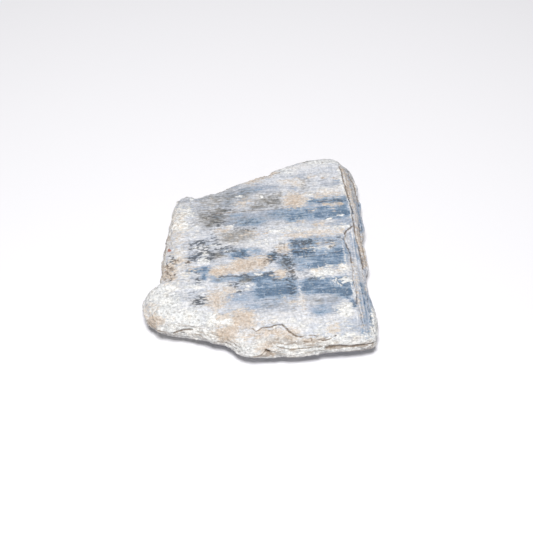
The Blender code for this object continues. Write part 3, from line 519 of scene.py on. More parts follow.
        (((25.2, -17), (26.6, -17.2)), 0.1, 0.9), (((26.9, -10), (27, -30)), 0.12, 0.9),
        (((12.4, -3.8), (18.4, -3.6)), 0.1, 0.9), (((19.2, -3.1), (21.9, -2.9)), 0.12),
        # The next four lines run along the clay's lower edge: a crack, and painted shadow under that raised
        # edge.
        (((-10, -8.6), (-9.5, -8.1), (-9, -8.5), (-8.2, -8.3), (-6.2, -8.4)),),
        (((-6.2, -8.4), (-4.5, -8.6), (-3.9, -8.2), (-3.2, -8.3), (-2.6, -8.9)), 0.28),
        (((-2.6, -9), (-0.8, -9.2), (0.7, -9.1), (1, -8.8), (1.6, -8.3)), 0.14),
        (((1, -8.8), (1.6, -8.3), (2.6, -8.3), (3.9, -8.1)), 0.26),
        (((-10, 12.9), (0, 13.1), (8.4, 13.1)), 0.1, 0.9), (((4.6, 25.2), (8.8, 26.3)), 0.14),
        (((18.2, 14.8), (21.6, 14.9)), 0.14), (((12.9, -30.3), (15.6, -29.7)), 0.12, 0.9),
        (((0, -16.6), (5, -16.7)), 0.1, 0.85), (((9.6, -6.5), (12.2, -6.4)), 0.1, 0.9),
    ),
    Stain.RUST: areas(
        (-24, -22.3, 0.9, 1.8, 1, 0.6), (-10.8, -9.2, -2.6, -1.8, 0.5, 0.8),
        (-25, -23.6, -6.6, -4.4, 0.5, 0.8),
    ),
    Stain.SEAM: lines(
        (((8.9, -1.8), (9, -8.4)), 0.24), (((9.8, -8.2), (10.1, -17)), 0.24),
        (((10, -16.6), (10.4, -24.6)), 0.26, 0.9), (((13, -2), (13.3, -7.6)), 0.14, 0.9),
        (((9.6, -4), (12, -3.95)), 0.14), (((18.7, -10.6), (19.3, -14.6)), 0.22),
        (((17.4, -16.4), (17.8, -21.8)), 0.18, 0.92), (((22.7, 1.8), (22.9, -12.4)), 0.22, 0.95),
        (((23, -12.4), (23.5, -18.4)), 0.22, 0.94), (((24.3, -20), (24.7, -30)), 0.16, 0.88),
        (((26.2, -6), (26.5, -28)), 0.12, 0.86),
        (((25.2, 25.4), (25.5, 21.8), (26.1, 14.4), (26.3, 8), (26, 5.6)), 0.2, 0.92),
        (((21.4, -5), (21.8, -10.6)), 0.14, 0.86), (((15.4, -6.8), (15.6, -9.4)), 0.2, 0.92),
        (((26.9, 5), (27.3, -9)), 0.1, 0.8), (((12.4, -2.4), (12.6, -7.4)), 0.14, 0.88),
        (((9.2, -17), (9.8, -24)), 0.16, 0.9),
    ),
    Stain.FLANK: areas(
        (23.2, 30.5, -31.6, -8, 1, 1.4), (24.2, 30.5, -9, 6.4, 1, 0.8), (26.8, 31, 5, 31, 1, 0.8),
    ),
}

# The areas on the cleavage face below, in X and Y as they are.
UNDER_PATCHES: dict[Stain, list[Patch | Line]] = {
    Stain.BLUE: areas(
        (-12, 24, -10, 2, 0.8, 3), (-20, 8, 6, 13, 0.7, 3), (4, 26, 16, 25, 0.6, 3),
        (-6, 20, -22, -15, 0.65, 3),
    ),
    Stain.CLAY: areas((-16, -4, -4, 3, 0.9, 3), (8, 20, 4, 8, 0.8, 2), (10, 24, -14, -10, 0.7, 2)),
    Stain.OLIVE: areas((-8, 6, 12, 17, 0.8, 2.5)),
    Stain.CHALK: areas((-30, -14, -26, -4, 0.9, 5), (-6, 10, -30, -22, 0.8, 4), (6, 27, 9, 14, 0.6, 2.5)),
    Stain.SPECKLE: areas((2, 14, -6, 0, 0.7, 2), (-18, -10, 4, 8, 0.7, 2)),
    Stain.CRACK: lines((((-14, -2), (-2, -1.6), (10, -2.2)), 0.18), (((4, 15), (24, 15.4)), 0.16)),
    Stain.RUST: areas((12, 13.6, -12, -10.8, 1, 0.8)),
    Stain.FLANK: [],
    Stain.SEAM: lines((((3.6, 6), (4, -12)), 0.24), (((15, -2), (15.3, -20)), 0.18)),
}


class NodeSheet:
    """A node tree with short ways to add nodes to it and to join them."""

    def __init__(self, tree: bpy.types.NodeTree) -> None:
        """Take the tree that the nodes go into."""
        self.tree = tree

    def join(self, value: object, socket: Socket) -> None:
        """Feed a socket from another socket, or set it to a plain value.

        Args:
            value: An output socket or a plain value.
            socket: The input that takes it.
        """
        if isinstance(value, Socket):
            self.tree.links.new(value, socket)
        else:
            socket.default_value = value

    def add(self, kind: str, inputs: dict[object, object], **settings: object) -> bpy.types.Node:
        """Add a node.

        Args:
            kind: The node's Blender type.
            inputs: What feeds each of its inputs, by name or number.
            **settings: Its own settings.

        Returns:
            The node.
        """
        node = self.tree.nodes.new(kind)
        for name, value in settings.items():
            setattr(node, name, value)
        for key, value in inputs.items():
            self.join(value, node.inputs[key])
        return node

    def maths(self, operation: str, *values: object) -> Socket:
        """Add a Math node and give its result's socket."""
        return self.add("ShaderNodeMath", dict(enumerate(values)), operation=operation).outputs[0]

    def vector(self, operation: str, first: object, second: object) -> Socket:
        """Add a Vector Math node, for a SCALE with its factor, and give its result's socket."""
        key = "Scale" if operation == "SCALE" else 1
        return self.add("ShaderNodeVectorMath", {0: first, key: second}, operation=operation).outputs[0]

    def swing(self, value: object, gain: object, middle: float = NOISE_MIDDLE) -> Socket:
        """Give how far a value is from its middle, times a gain."""
        return self.maths("MULTIPLY", self.maths("SUBTRACT", value, middle), gain)

    def ranged(self, value: object, band: tuple[object, object], ends: tuple[float, float] = (0.0, 1.0),
               easing: str = "LINEAR") -> Socket:
        """Map a value's band onto the range between two ends, and hold it there outside the band.

        Args:
            value: The value.
            band: Where the result leaves its first end and reaches its last.
            ends: The first end and the last.
            easing: The kind of slope between them.

        Returns:
            The result's socket.
        """
        names = ("Value", "From Min", "From Max", "To Min", "To Max")
        inputs = dict(zip(names, (value, *band, *ends)))
        return self.add("ShaderNodeMapRange", inputs, interpolation_type=easing).outputs[0]

    def blend(self, share: object, under: object, over: object) -> Socket:
        """Lay the upper colour over the lower one, with its share from 0 to 1."""
        # A Mix node takes its colours at inputs 6 and 7 and gives the mixed one at output 2.
        return self.add("ShaderNodeMix", {0: share, 6: under, 7: over}, data_type="RGBA").outputs[2]

    def lay(self, mask: object, cover: object, under: object, over: object) -> Socket:
        """Lay the upper colour over the lower one where the mask says, with its own cover."""
        return self.blend(self.maths("MULTIPLY", mask, cover), under, over)

    def group(self, tree: bpy.types.NodeTree, **inputs: object) -> Socket:
        """Place a node group, fed by its inputs' names in small letters, and give its first output."""
        named = {name.capitalize(): value for name, value in inputs.items()}
        return self.add("ShaderNodeGroup", named, node_tree=tree).outputs[0]


class Effects:
    """The node groups that the finishes share, each built once."""

    def __init__(self) -> None:
        """Build the groups."""
        self.fibres = self.fibre_group()
        self.grains = self.grain_group()
        self.ridges = self.ridge_group()
        self.ragged = self.ragged_group()

    @staticmethod
    def start(
        name: str, inputs: dict[str, float | None], output: str
    ) -> tuple[NodeSheet, dict[str, Socket], Socket]:
        """Make a group with named inputs and one output.

        Args:
            name: The group's name.
            inputs: Each input's name and first value, or None for a vector.
            output: The output's name.

        Returns:
            A sheet on the group, the sockets of its inputs by name, and that of its output.
        """
        tree = bpy.data.node_groups.new(name, "ShaderNodeTree")
        for label, value in inputs.items():
            kind = "NodeSocketVector" if value is None else "NodeSocketFloat"
            socket = tree.interface.new_socket(label, in_out="INPUT", socket_type=kind)
            if value is not None:
                socket.default_value = value
        tree.interface.new_socket(output, in_out="OUTPUT", socket_type="NodeSocketFloat")
        sheet = NodeSheet(tree)
        entry = sheet.add("NodeGroupInput", {})
        leave = sheet.add("NodeGroupOutput", {})
        return sheet, {label: entry.outputs[label] for label in inputs}, leave.inputs[output]

    @staticmethod
    def scaled(sheet: NodeSheet, entry: dict[str, Socket], names: tuple[str, str, str]) -> Socket:
        """Divide the place by a grain's size.

        Args:
            sheet: The group's sheet.
            entry: The group's inputs.
            names: The inputs that hold the size along X, Y and Z.

        Returns:
            The scaled place's socket.
        """
        parts = {axis: sheet.maths("DIVIDE", 1.0, entry[name]) for axis, name in enumerate(names)}
        stretch = sheet.add("ShaderNodeCombineXYZ", parts)
        return sheet.vector("MULTIPLY", entry["Place"], stretch.outputs[0])

    def fibre_group(self) -> bpy.types.NodeTree:
        """Build noise that is drawn out along the blades.

        Returns:
            The group, which gives a value from 0 to 1.
        """
        inputs = {"Place": None, "Length": 8.0, "Width": 0.5, "Height": 0.5, "Detail": 3.0}
        sheet, entry, leave = self.start("fibre_streaks", inputs, "Streak")
        streaks = sheet.add("ShaderNodeTexNoise", {
            "Vector": self.scaled(sheet, entry, ("Length", "Width", "Height")),
            "Scale": 1.0,
            "Detail": entry["Detail"],
            "Roughness": 0.6,
        })
        sheet.join(streaks.outputs[0], leave)
        return sheet.tree

    def grain_group(self) -> bpy.types.NodeTree:
        """Build noise of even grains.

        Returns:
            The group, which gives a value from 0 to 1.
        """
        inputs = {"Place": None, "Size": 0.6, "Detail": 3.0}
        sheet, entry, leave = self.start("crust_grains", inputs, "Grain")
        grains = sheet.add("ShaderNodeTexNoise", {
            "Vector": entry["Place"],
            "Scale": sheet.maths("DIVIDE", 1.0, entry["Size"]),
            "Detail": entry["Detail"],
            "Roughness": 0.62,
        })
        sheet.join(grains.outputs[0], leave)
        return sheet.tree

    def ridge_group(self) -> bpy.types.NodeTree:
        """Build noise of crinkled ridges.

        Returns:
            The group, which gives a value from about 0, between the ridges, to 1 on them.
        """
        inputs = {"Place": None, "Length": 3.0, "Width": 1.3}
        sheet, entry, leave = self.start("crust_ridges", inputs, "Ridge")
        swirls = sheet.add("ShaderNodeTexNoise", {
            "Vector": self.scaled(sheet, entry, ("Length", "Width", "Width")),
            "Scale": 1.0,
            "Detail": 3.0,
            "Roughness": 0.55,
            "Distortion": 0.8,
        })
        away = sheet.maths("ABSOLUTE", sheet.maths("SUBTRACT", swirls.outputs[0], NOISE_MIDDLE))
        half_width = 0.16
        sheet.join(sheet.ranged(away, (0.0, half_width), (1.0, 0.0)), leave)
        return sheet.tree

    def ragged_group(self) -> bpy.types.NodeTree:
        """Build the break-up of a mask's soft edge into ragged flakes.

        Returns:
            The group, which gives a mask from 0 to 1.
        """
        inputs = {"Mask": 0.0, "Noise": 0.5, "Spread": 0.8, "Blur": 0.1}
        sheet, entry, leave = self.start("ragged_mask", inputs, "Mask")
        middle = 0.5
        noise_gain = 2.0
        shift = sheet.swing(entry["Noise"], entry["Spread"])
        level = sheet.maths("ADD", entry["Mask"], sheet.maths("MULTIPLY", shift, noise_gain))
        band = (sheet.maths("SUBTRACT", middle, entry["Blur"]), sheet.maths("ADD", middle, entry["Blur"]))
        sheet.join(sheet.ranged(level, band, easing="SMOOTHSTEP"), leave)
        return sheet.tree


@dataclass(frozen=True)
class Coat:
    """How a layer of the stone's colour shows and how its edge breaks up.

    Args:
        cover: How much of it shows where it lies, from 0 to 1.
        spread: How far the noise moves its edge.
        blur: How soft the edge of each flake is.
        reach: For a layer that no mask places, its even level: the lower, the fewer its spots.
    """

    cover: float
    spread: float
    blur: float
    reach: float = 0.0


@dataclass(frozen=True)
class StoneFinish:
    """The stone: blue blades under clay, olive film, white crust, dark specks and rust, with painted shade
    in its hollows and a painted highlight on its crests.
    """

    chalky: Colour = linear(222, 219, 218)
    lavender: Colour = linear(198, 200, 206)
    mid_blue: Colour = linear(160, 167, 180)
    deep_blue: Colour = linear(138, 156, 177)
    night_blue: Colour = linear(86, 109, 134)
    cream: Colour = linear(208, 200, 192)
    clay: Colour = linear(189, 170, 151)
    clay_shade: Colour = linear(172, 152, 132)
    olive: Colour = linear(92, 88, 80)
    chalk: Colour = linear(230, 230, 229)
    # The crust's grey, in its grain and as painted shade in its hollows.
    chalk_shade: Colour = linear(193, 195, 195)
    speck: Colour = linear(62, 69, 78)
    speck_brown: Colour = linear(78, 66, 56)
    crack: Colour = linear(92, 81, 72)
    # Also laid in the hollows, steps and joints as painted shade, with dirt.
    dirt: Colour = linear(136, 119, 103)
    slate: Colour = linear(72, 82, 96)
    rust: Colour = linear(150, 82, 44)
    wall: Colour = linear(196, 190, 182)
    dust: Colour = linear(211, 212, 215)
    warmth: tuple[float, float, float] = (1.0, 0.972, 0.93)

    flake_grain: Grain = Grain(1.4, 0.5, detail=5.0)
    grit_grain: Grain = Grain(0.55, 0.55, detail=4.0)
    crumb_grain: Grain = Grain(0.7, 0.7, detail=4.0)
    fine_grain: Grain = Grain(4.0, 0.36, detail=4.0)
    broad_grain: Grain = Grain(9.0, 1.5)
    flank_grain: Grain = Grain(9.0, 0.4, 0.8)
    mottle_grain: Grain = Grain(1.7, 1.7, detail=4.0)
    chalk_ridges: Grain = Grain(2.6, 0.9)
    pit_grain: Grain = Grain(0.28, 0.28, detail=2.0)
    speck_grain: Grain = Grain(1.1, 0.5, detail=4.0)
    strata_grain: Grain = Grain(9.0, 9.0, 0.5, 4.0)
    waver_grain: Grain = Grain(2.2, 2.2)
    light_grain: Grain = Grain(0.6, 0.6)
    shade_grain: Grain = Grain(3.2, 3.2)
    relief_grain: Grain = Grain(4.0, 0.2)
    relief_grit: Grain = Grain(0.5, 0.5, detail=4.0)
    relief_ridges: Grain = Grain(3.4, 1.3)

    blue_stops: tuple[float, float, float] = (0.3, 0.58, 0.82)
    night_stop: float = 0.98
    fine_streak: float = 0.8
    broad_streak: float = 0.6
    flank_streak: float = 1.8
    mottle: float = 0.4

    dust_coat: Coat = Coat(0.35, 1.0, 0.2, 0.3)
    wall_coat: Coat = Coat(0.6, 0.5, 0.25)
    olive_coat: Coat = Coat(0.9, 0.8, 0.45)
    chalk_coat: Coat = Coat(0.94, 1.0, 0.2)
    clay_coat: Coat = Coat(0.86, 1.0, 0.2)
    pit_coat: Coat = Coat(0.55, 1.1, 0.14, 0.3)
    seam_coat: Coat = Coat(0.72, 0.7, 0.15)
    speck_coat: Coat = Coat(0.85, 1.5, 0.18)
    strata_coat: Coat = Coat(0.7, 1.0, 0.12, 0.36)
    spot_coat: Coat = Coat(0.45, 1.1, 0.14, 0.2)
    # The painted shade and dirt in the hollows.
    hollow_dirt_shade_coat: Coat = Coat(0.32, 0.8, 0.3)
    crack_coat: Coat = Coat(0.78, 0.35, 0.1)
    rust_coat: Coat = Coat(0.8, 0.8, 0.2)

    chalk_middle: float = 0.42
    chalk_grain: float = 1.8
    chalk_ridge: float = 0.8
    # How far the painted highlight on crests and the painted shade in hollows move the crust's colour.
    crust_painted_light: float = 0.5
    clay_grain: float = 2.4
    clay_band: Band = (0.45, 1.2)
    speck_share: float = 0.56
    speck_limit: float = 0.84
    line_inset: float = 0.25
    crack_middle: float = 0.52
    crack_waver: float = 0.55
    crack_band: Band = (0.78, 1.0)
    slate_band: Band = (0.4, 0.55)
    grit_middle: float = 0.52
    grit_band: Band = (0.35, 0.8)
    grit_gains: Band = (1.25, 0.9)
    broad_gain: float = 0.3
    broad_shift: tuple[float, float, float] = (31.0, 7.0, 3.0)
    warm_band: Band = (0.45, 0.65)

    roughness: Band = (0.45, 0.92)
    relief_strength: float = 0.8
    relief_depth: float = 0.16
    relief_fibre: float = 0.4

    def material(self, effects: Effects) -> bpy.types.Material:
        """Make the stone's material.

        Args:
            effects: The shared node groups.

        Returns:
            The material.
        """
        material = bpy.data.materials.new("kyanite_stone")
        material.use_nodes = True
        StoneLayers(material.node_tree, effects, self).dress(material.node_tree.nodes["Principled BSDF"])
        return material


class StoneLayers(NodeSheet):
    """The stone's nodes: its colour, laid on layer by layer, its roughness and its fine relief."""

    def __init__(self, tree: bpy.types.NodeTree, effects: Effects, finish: StoneFinish) -> None:
        """Read the place and the masks, and place the noises that several layers share.

        Args:
            tree: The material's tree.
            effects: The shared node groups.
            finish: The stone's finish.
        """
        super().__init__(tree)
        self.effects = effects
        self.finish = finish
        self.place = self.vector("SCALE", self.add("ShaderNodeTexCoord", {}).outputs["Object"], 1 / MM)
        self.masks = {
            stain: self.add("ShaderNodeAttribute", {}, attribute_name=stain.value).outputs["Fac"]
            for stain in Stain
        }
        self.flakes = self.fibres(finish.flake_grain)
        self.grit = self.grains(finish.grit_grain)
        self.crumbs = self.grains(finish.crumb_grain)

    def fibres(self, grain: Grain, place: Socket | None = None) -> Socket:
        """Place the noise that is drawn out along the blades.

        Args:
            grain: Its grain.
            place: Where it is read, if not at the place on the stone.

        Returns:
            A value from 0 to 1.
        """
        spot = self.place if place is None else place
        return self.group(self.effects.fibres, place=spot, length=grain.length, width=grain.width,
                          height=grain.height or grain.width, detail=grain.detail)

    def grains(self, grain: Grain, place: Socket | None = None) -> Socket:
        """Place the noise of even grains, as long as they are wide, on the stone or at a place given."""
        spot = self.place if place is None else place
        return self.group(self.effects.grains, place=spot, size=grain.length, detail=grain.detail)

    def ridges(self, grain: Grain) -> Socket:
        """Place the crinkled ridges."""
        return self.group(self.effects.ridges, place=self.place, length=grain.length, width=grain.width)

    def broken(self, coat: Coat, noise: Socket, mask: Socket | None = None) -> Socket:
        """Break a layer's mask, or its even reach if it has none, up into ragged flakes."""
        level = coat.reach if mask is None else mask
        return self.group(self.effects.ragged, mask=level, noise=noise, spread=coat.spread, blur=coat.blur)

    def cover(self, mask: Socket, coat: Coat, over: object, within: Socket | None = None) -> None:
        """Lay a layer over the colour, by its ragged mask and within what it keeps to, if anything."""
        share = coat.cover if within is None else self.maths("MULTIPLY", within, coat.cover)
        self.colour = self.lay(mask, share, self.colour, over)

    def dress(self, shader: bpy.types.Node) -> None:
        """Lay the layers and feed the shader.

        Args:
            shader: The material's shader.
        """
        finish = self.finish
        self.colour = self.blades()
        steep = self.film()
        chalk = self.crust()
        clay = self.clay()
        self.specks(clay)
        dry = self.maths("MAXIMUM", self.maths("MAXIMUM", clay, chalk), steep)
        self.dirt(dry)
        self.cracks()
        self.light_and_dark()
        rough = self.ranged(dry, (0.0, 1.0), finish.roughness)
        bump = self.add("ShaderNodeBump", {
            "Strength": finish.relief_strength,
            "Distance": finish.relief_depth * MM,
            "Height": self.relief(rough),
        })
        self.join(self.colour, shader.inputs["Base Color"])
        self.join(rough, shader.inputs["Roughness"])
        self.join(bump.outputs[0], shader.inputs["Normal"])

    def blades(self) -> Socket:
        """Give the bare blades' colour, with streaks along X on the face and along Y on the flank.

        Returns:
            The colour's socket.
        """
        finish = self.finish
        axes = self.add("ShaderNodeSeparateXYZ", {0: self.place}).outputs
        crosswise = self.add("ShaderNodeCombineXYZ", {0: axes[1], 1: axes[0], 2: axes[2]}).outputs[0]
        fine = self.swing(self.fibres(finish.fine_grain), finish.fine_streak)
        broad = self.swing(self.fibres(finish.broad_grain), finish.broad_streak)
        across = self.fibres(finish.flank_grain, crosswise)
        # A Mix node takes its values at inputs 2 and 3.
        sides = {
            0: self.masks[Stain.FLANK],
            2: self.maths("ADD", fine, broad),
            3: self.swing(across, finish.flank_streak),
        }
        drift = self.add("ShaderNodeMix", sides, data_type="FLOAT").outputs[0]
        mottle = self.swing(self.grains(finish.mottle_grain), finish.mottle)
        depth = self.maths("ADD", self.maths("ADD", self.masks[Stain.BLUE], drift), mottle)
        node = self.add("ShaderNodeValToRGB", {0: depth})
        stops = node.color_ramp.elements
        stops[0].color = finish.chalky
        stops[1].position = finish.night_stop
        stops[1].color = finish.night_blue
        for place, colour in zip(finish.blue_stops, (finish.lavender, finish.mid_blue, finish.deep_blue)):
            stops.new(place).color = colour
        return node.outputs[0]

    def film(self) -> Socket:
        """Lay the dust, the dull colour of the walls and the olive film.

        Returns:
            The walls' ragged mask.
        """
        finish = self.finish
        self.cover(self.broken(finish.dust_coat, self.grit), finish.dust_coat, finish.dust)
        steep = self.broken(finish.wall_coat, self.flakes, self.masks[Stain.WALL])
        self.cover(steep, finish.wall_coat, finish.wall)
        film = self.broken(finish.olive_coat, self.flakes, self.masks[Stain.OLIVE])
        self.cover(film, finish.olive_coat, finish.olive)
        return steep

    def crust(self) -> Socket:
        """Lay the white crust, white to grey with its ridges and grain, with a painted highlight on its
        crests and painted shade in its hollows.

        Returns:
            The crust's ragged mask.
        """
        finish = self.finish
        chalk = self.broken(finish.chalk_coat, self.flakes, self.masks[Stain.CHALK])
        ridges = self.maths("MULTIPLY", self.ridges(finish.chalk_ridges), finish.chalk_ridge)
        shade = self.maths("ADD", ridges, self.swing(self.grit, finish.chalk_grain, finish.chalk_middle))
        # Painted light: the crust is whiter on the skin's crests and greyer in its hollows.
        for operation, stain in (("ADD", Stain.CREST_HIGHLIGHT), ("SUBTRACT", Stain.HOLLOW_DIRT_AND_SHADE)):
            lift = self.maths("MULTIPLY", self.masks[stain], finish.crust_painted_light)
            shade = self.maths(operation, shade, lift)
        white = self.blend(self.ranged(shade, (0.0, 1.0)), finish.chalk_shade, finish.chalk)
        self.cover(chalk, finish.chalk_coat, white)
        return chalk

    def clay(self) -> Socket:
        """Lay the pitted clay, darker where it lies thick.

        Returns:
            The clay's ragged mask.
        """
        finish = self.finish
        clay = self.broken(finish.clay_coat, self.flakes, self.masks[Stain.CLAY])
        tone = self.maths("ADD", self.masks[Stain.CLAY], self.swing(self.grit, finish.clay_grain))
        earth = self.blend(self.ranged(tone, finish.clay_band), finish.cream, finish.clay)
        pits = self.broken(finish.pit_coat, self.grains(finish.pit_grain))
        earth = self.lay(pits, finish.pit_coat.cover, earth, finish.clay_shade)
        self.cover(clay, finish.clay_coat, earth)
        return clay

    def specks(self, clay: Socket) -> None:
        """Lay the pale seams and the dark specks.

        Args:
            clay: The mask of the clay, on which the specks are browner.
        """
        finish = self.finish
        inset = self.maths("SUBTRACT", self.masks[Stain.SEAM], finish.line_inset)
        self.cover(self.broken(finish.seam_coat, self.grit, inset), finish.seam_coat, finish.dust)
        level = self.masks[Stain.SPECKLE]
        share = self.maths("MULTIPLY", level, finish.speck_share)
        specks = self.broken(finish.speck_coat, self.fibres(finish.speck_grain), share)
        specks = self.maths("MULTIPLY", specks, self.maths("MULTIPLY", level, finish.speck_coat.cover))
        specks = self.maths("MINIMUM", specks, finish.speck_limit)
        self.colour = self.blend(specks, self.colour, self.blend(clay, finish.speck, finish.speck_brown))

    def dirt(self, dry: Socket) -> None:
        """Lay the dirt: the lines of the strata, scattered spots, and dirt with painted shade in the
        hollows.

        Args:
            dry: The mask of crust, clay and walls.
        """
        finish = self.finish
        strata = self.broken(finish.strata_coat, self.fibres(finish.strata_grain))
        self.cover(strata, finish.strata_coat, finish.dirt, self.masks[Stain.WALL])
        self.cover(self.broken(finish.spot_coat, self.crumbs), finish.spot_coat, finish.dirt, dry)
        # Painted shade with dirt: the hollows, steps and joints are darkened with the dirt colour.
        hollow_dirt_shade = self.broken(finish.hollow_dirt_shade_coat, self.crumbs, self.masks[Stain.HOLLOW_DIRT_AND_SHADE])
        self.cover(hollow_dirt_shade, finish.hollow_dirt_shade_coat, finish.dirt)

    def cracks(self) -> None:
        """Lay the cracks, which are slate on bare blue and brown elsewhere, and the rust."""
        finish = self.finish
        waver = self.swing(self.grains(finish.waver_grain), finish.crack_waver, finish.crack_middle)
        near = self.maths("ADD", self.masks[Stain.CRACK], waver)
        inset = self.maths("SUBTRACT", near, finish.line_inset)
        crack = self.broken(finish.crack_coat, self.crumbs, inset)
        tint = self.blend(self.ranged(near, finish.crack_band), finish.dirt, finish.crack)
        tint = self.blend(self.ranged(self.masks[Stain.BLUE], finish.slate_band), tint, finish.slate)
        self.cover(crack, finish.crack_coat, tint)
        rust = self.broken(finish.rust_coat, self.crumbs, self.masks[Stain.RUST])
        self.cover(rust, finish.rust_coat, finish.rust)

    def light_and_dark(self) -> None:
        """Break the colour up into fine light and dark grit, less so on the deep blue."""
        finish = self.finish
        amount = self.ranged(self.masks[Stain.BLUE], finish.grit_band, finish.grit_gains)
        fine = self.swing(self.grains(finish.light_grain), amount, finish.grit_middle)
        broad = self.grains(finish.shade_grain, self.vector("ADD", self.place, finish.broad_shift))
        change = self.maths("ADD", fine, self.swing(broad, finish.broad_gain))
        toned = self.vector("SCALE", self.colour, self.maths("ADD", 1.0, change))
        warm = self.vector("MULTIPLY", toned, finish.warmth)
        self.colour = self.blend(self.ranged(broad, finish.warm_band), toned, warm)

    def relief(self, rough: Socket) -> Socket:
        """Give the height of the fine relief that the mesh is too coarse for.

        Args:
            rough: The roughness, which is high on crust.

        Returns:
            The height's socket, from 0 to about 2.
        """
        finish = self.finish
        fibres = self.maths("MULTIPLY", self.fibres(finish.relief_grain), finish.relief_fibre)
        crust = self.maths("ADD", self.grains(finish.relief_grit), self.ridges(finish.relief_ridges))
        return self.maths("ADD", fibres, self.maths("MULTIPLY", crust, rough))


@dataclass(frozen=True)
class FloorFinish:
    """The plain pale floor."""

    colour: Colour = linear(226, 225, 228)
    roughness: float = 0.9

    def material(self) -> bpy.types.Material:
        """Make the floor's material.

        Returns:
            The material.
        """
        material = bpy.data.materials.new("studio_floor")
        material.use_nodes = True
        shader = material.node_tree.nodes["Principled BSDF"]
        shader.inputs["Base Color"].default_value = self.colour
        shader.inputs["Roughness"].default_value = self.roughness
        return material


@dataclass
class Skin:
    """The vertices of a mesh and the edges between them, as arrays, in millimetres."""

    places: np.ndarray
    edges: np.ndarray

    @classmethod
    def of(cls, mesh: bpy.types.Mesh) -> "Skin":
        """Read a mesh.

        Args:
            mesh: The mesh.

        Returns:
            Its skin.
        """
        places = np.zeros(len(mesh.vertices) * 3)
        mesh.vertices.foreach_get("co", places)
        edges = np.zeros(len(mesh.edges) * 2, np.int32)
        mesh.edges.foreach_get("vertices", edges)
        return cls(places.reshape(-1, 3) / MM, edges.reshape(-1, 2))

    def normals(self, mesh: bpy.types.Mesh) -> np.ndarray:
        """Write the places to the mesh and read its normals.

        Args:
            mesh: The mesh that the skin was read from.

        Returns:
            Rows of X, Y and Z.
        """
        mesh.vertices.foreach_set("co", (self.places * MM).ravel())
        mesh.update()
        values = np.zeros(len(self.places) * 3)
        mesh.vertices.foreach_get("normal", values)
        return values.reshape(-1, 3)

    def relaxed(self, rounds: int, pull: float = 0.6) -> np.ndarray:
        """Draw each vertex towards the middle of its neighbours.

        Args:
            rounds: How many times.
            pull: How far it goes each time, from 0 to 1.

        Returns:
            The evened places.
        """
        count = len(self.places)
        first, second = self.edges.T
        degree = np.bincount(first, minlength=count) + np.bincount(second, minlength=count)
        degree = np.maximum(degree, 1)
        places = self.places.copy()
        for _ in range(rounds):
            for axis in range(3):
                values = places[:, axis]
                total = np.bincount(first, values[second], count)
                total += np.bincount(second, values[first], count)
                places[:, axis] = values + pull * (total / degree - values)
        return places


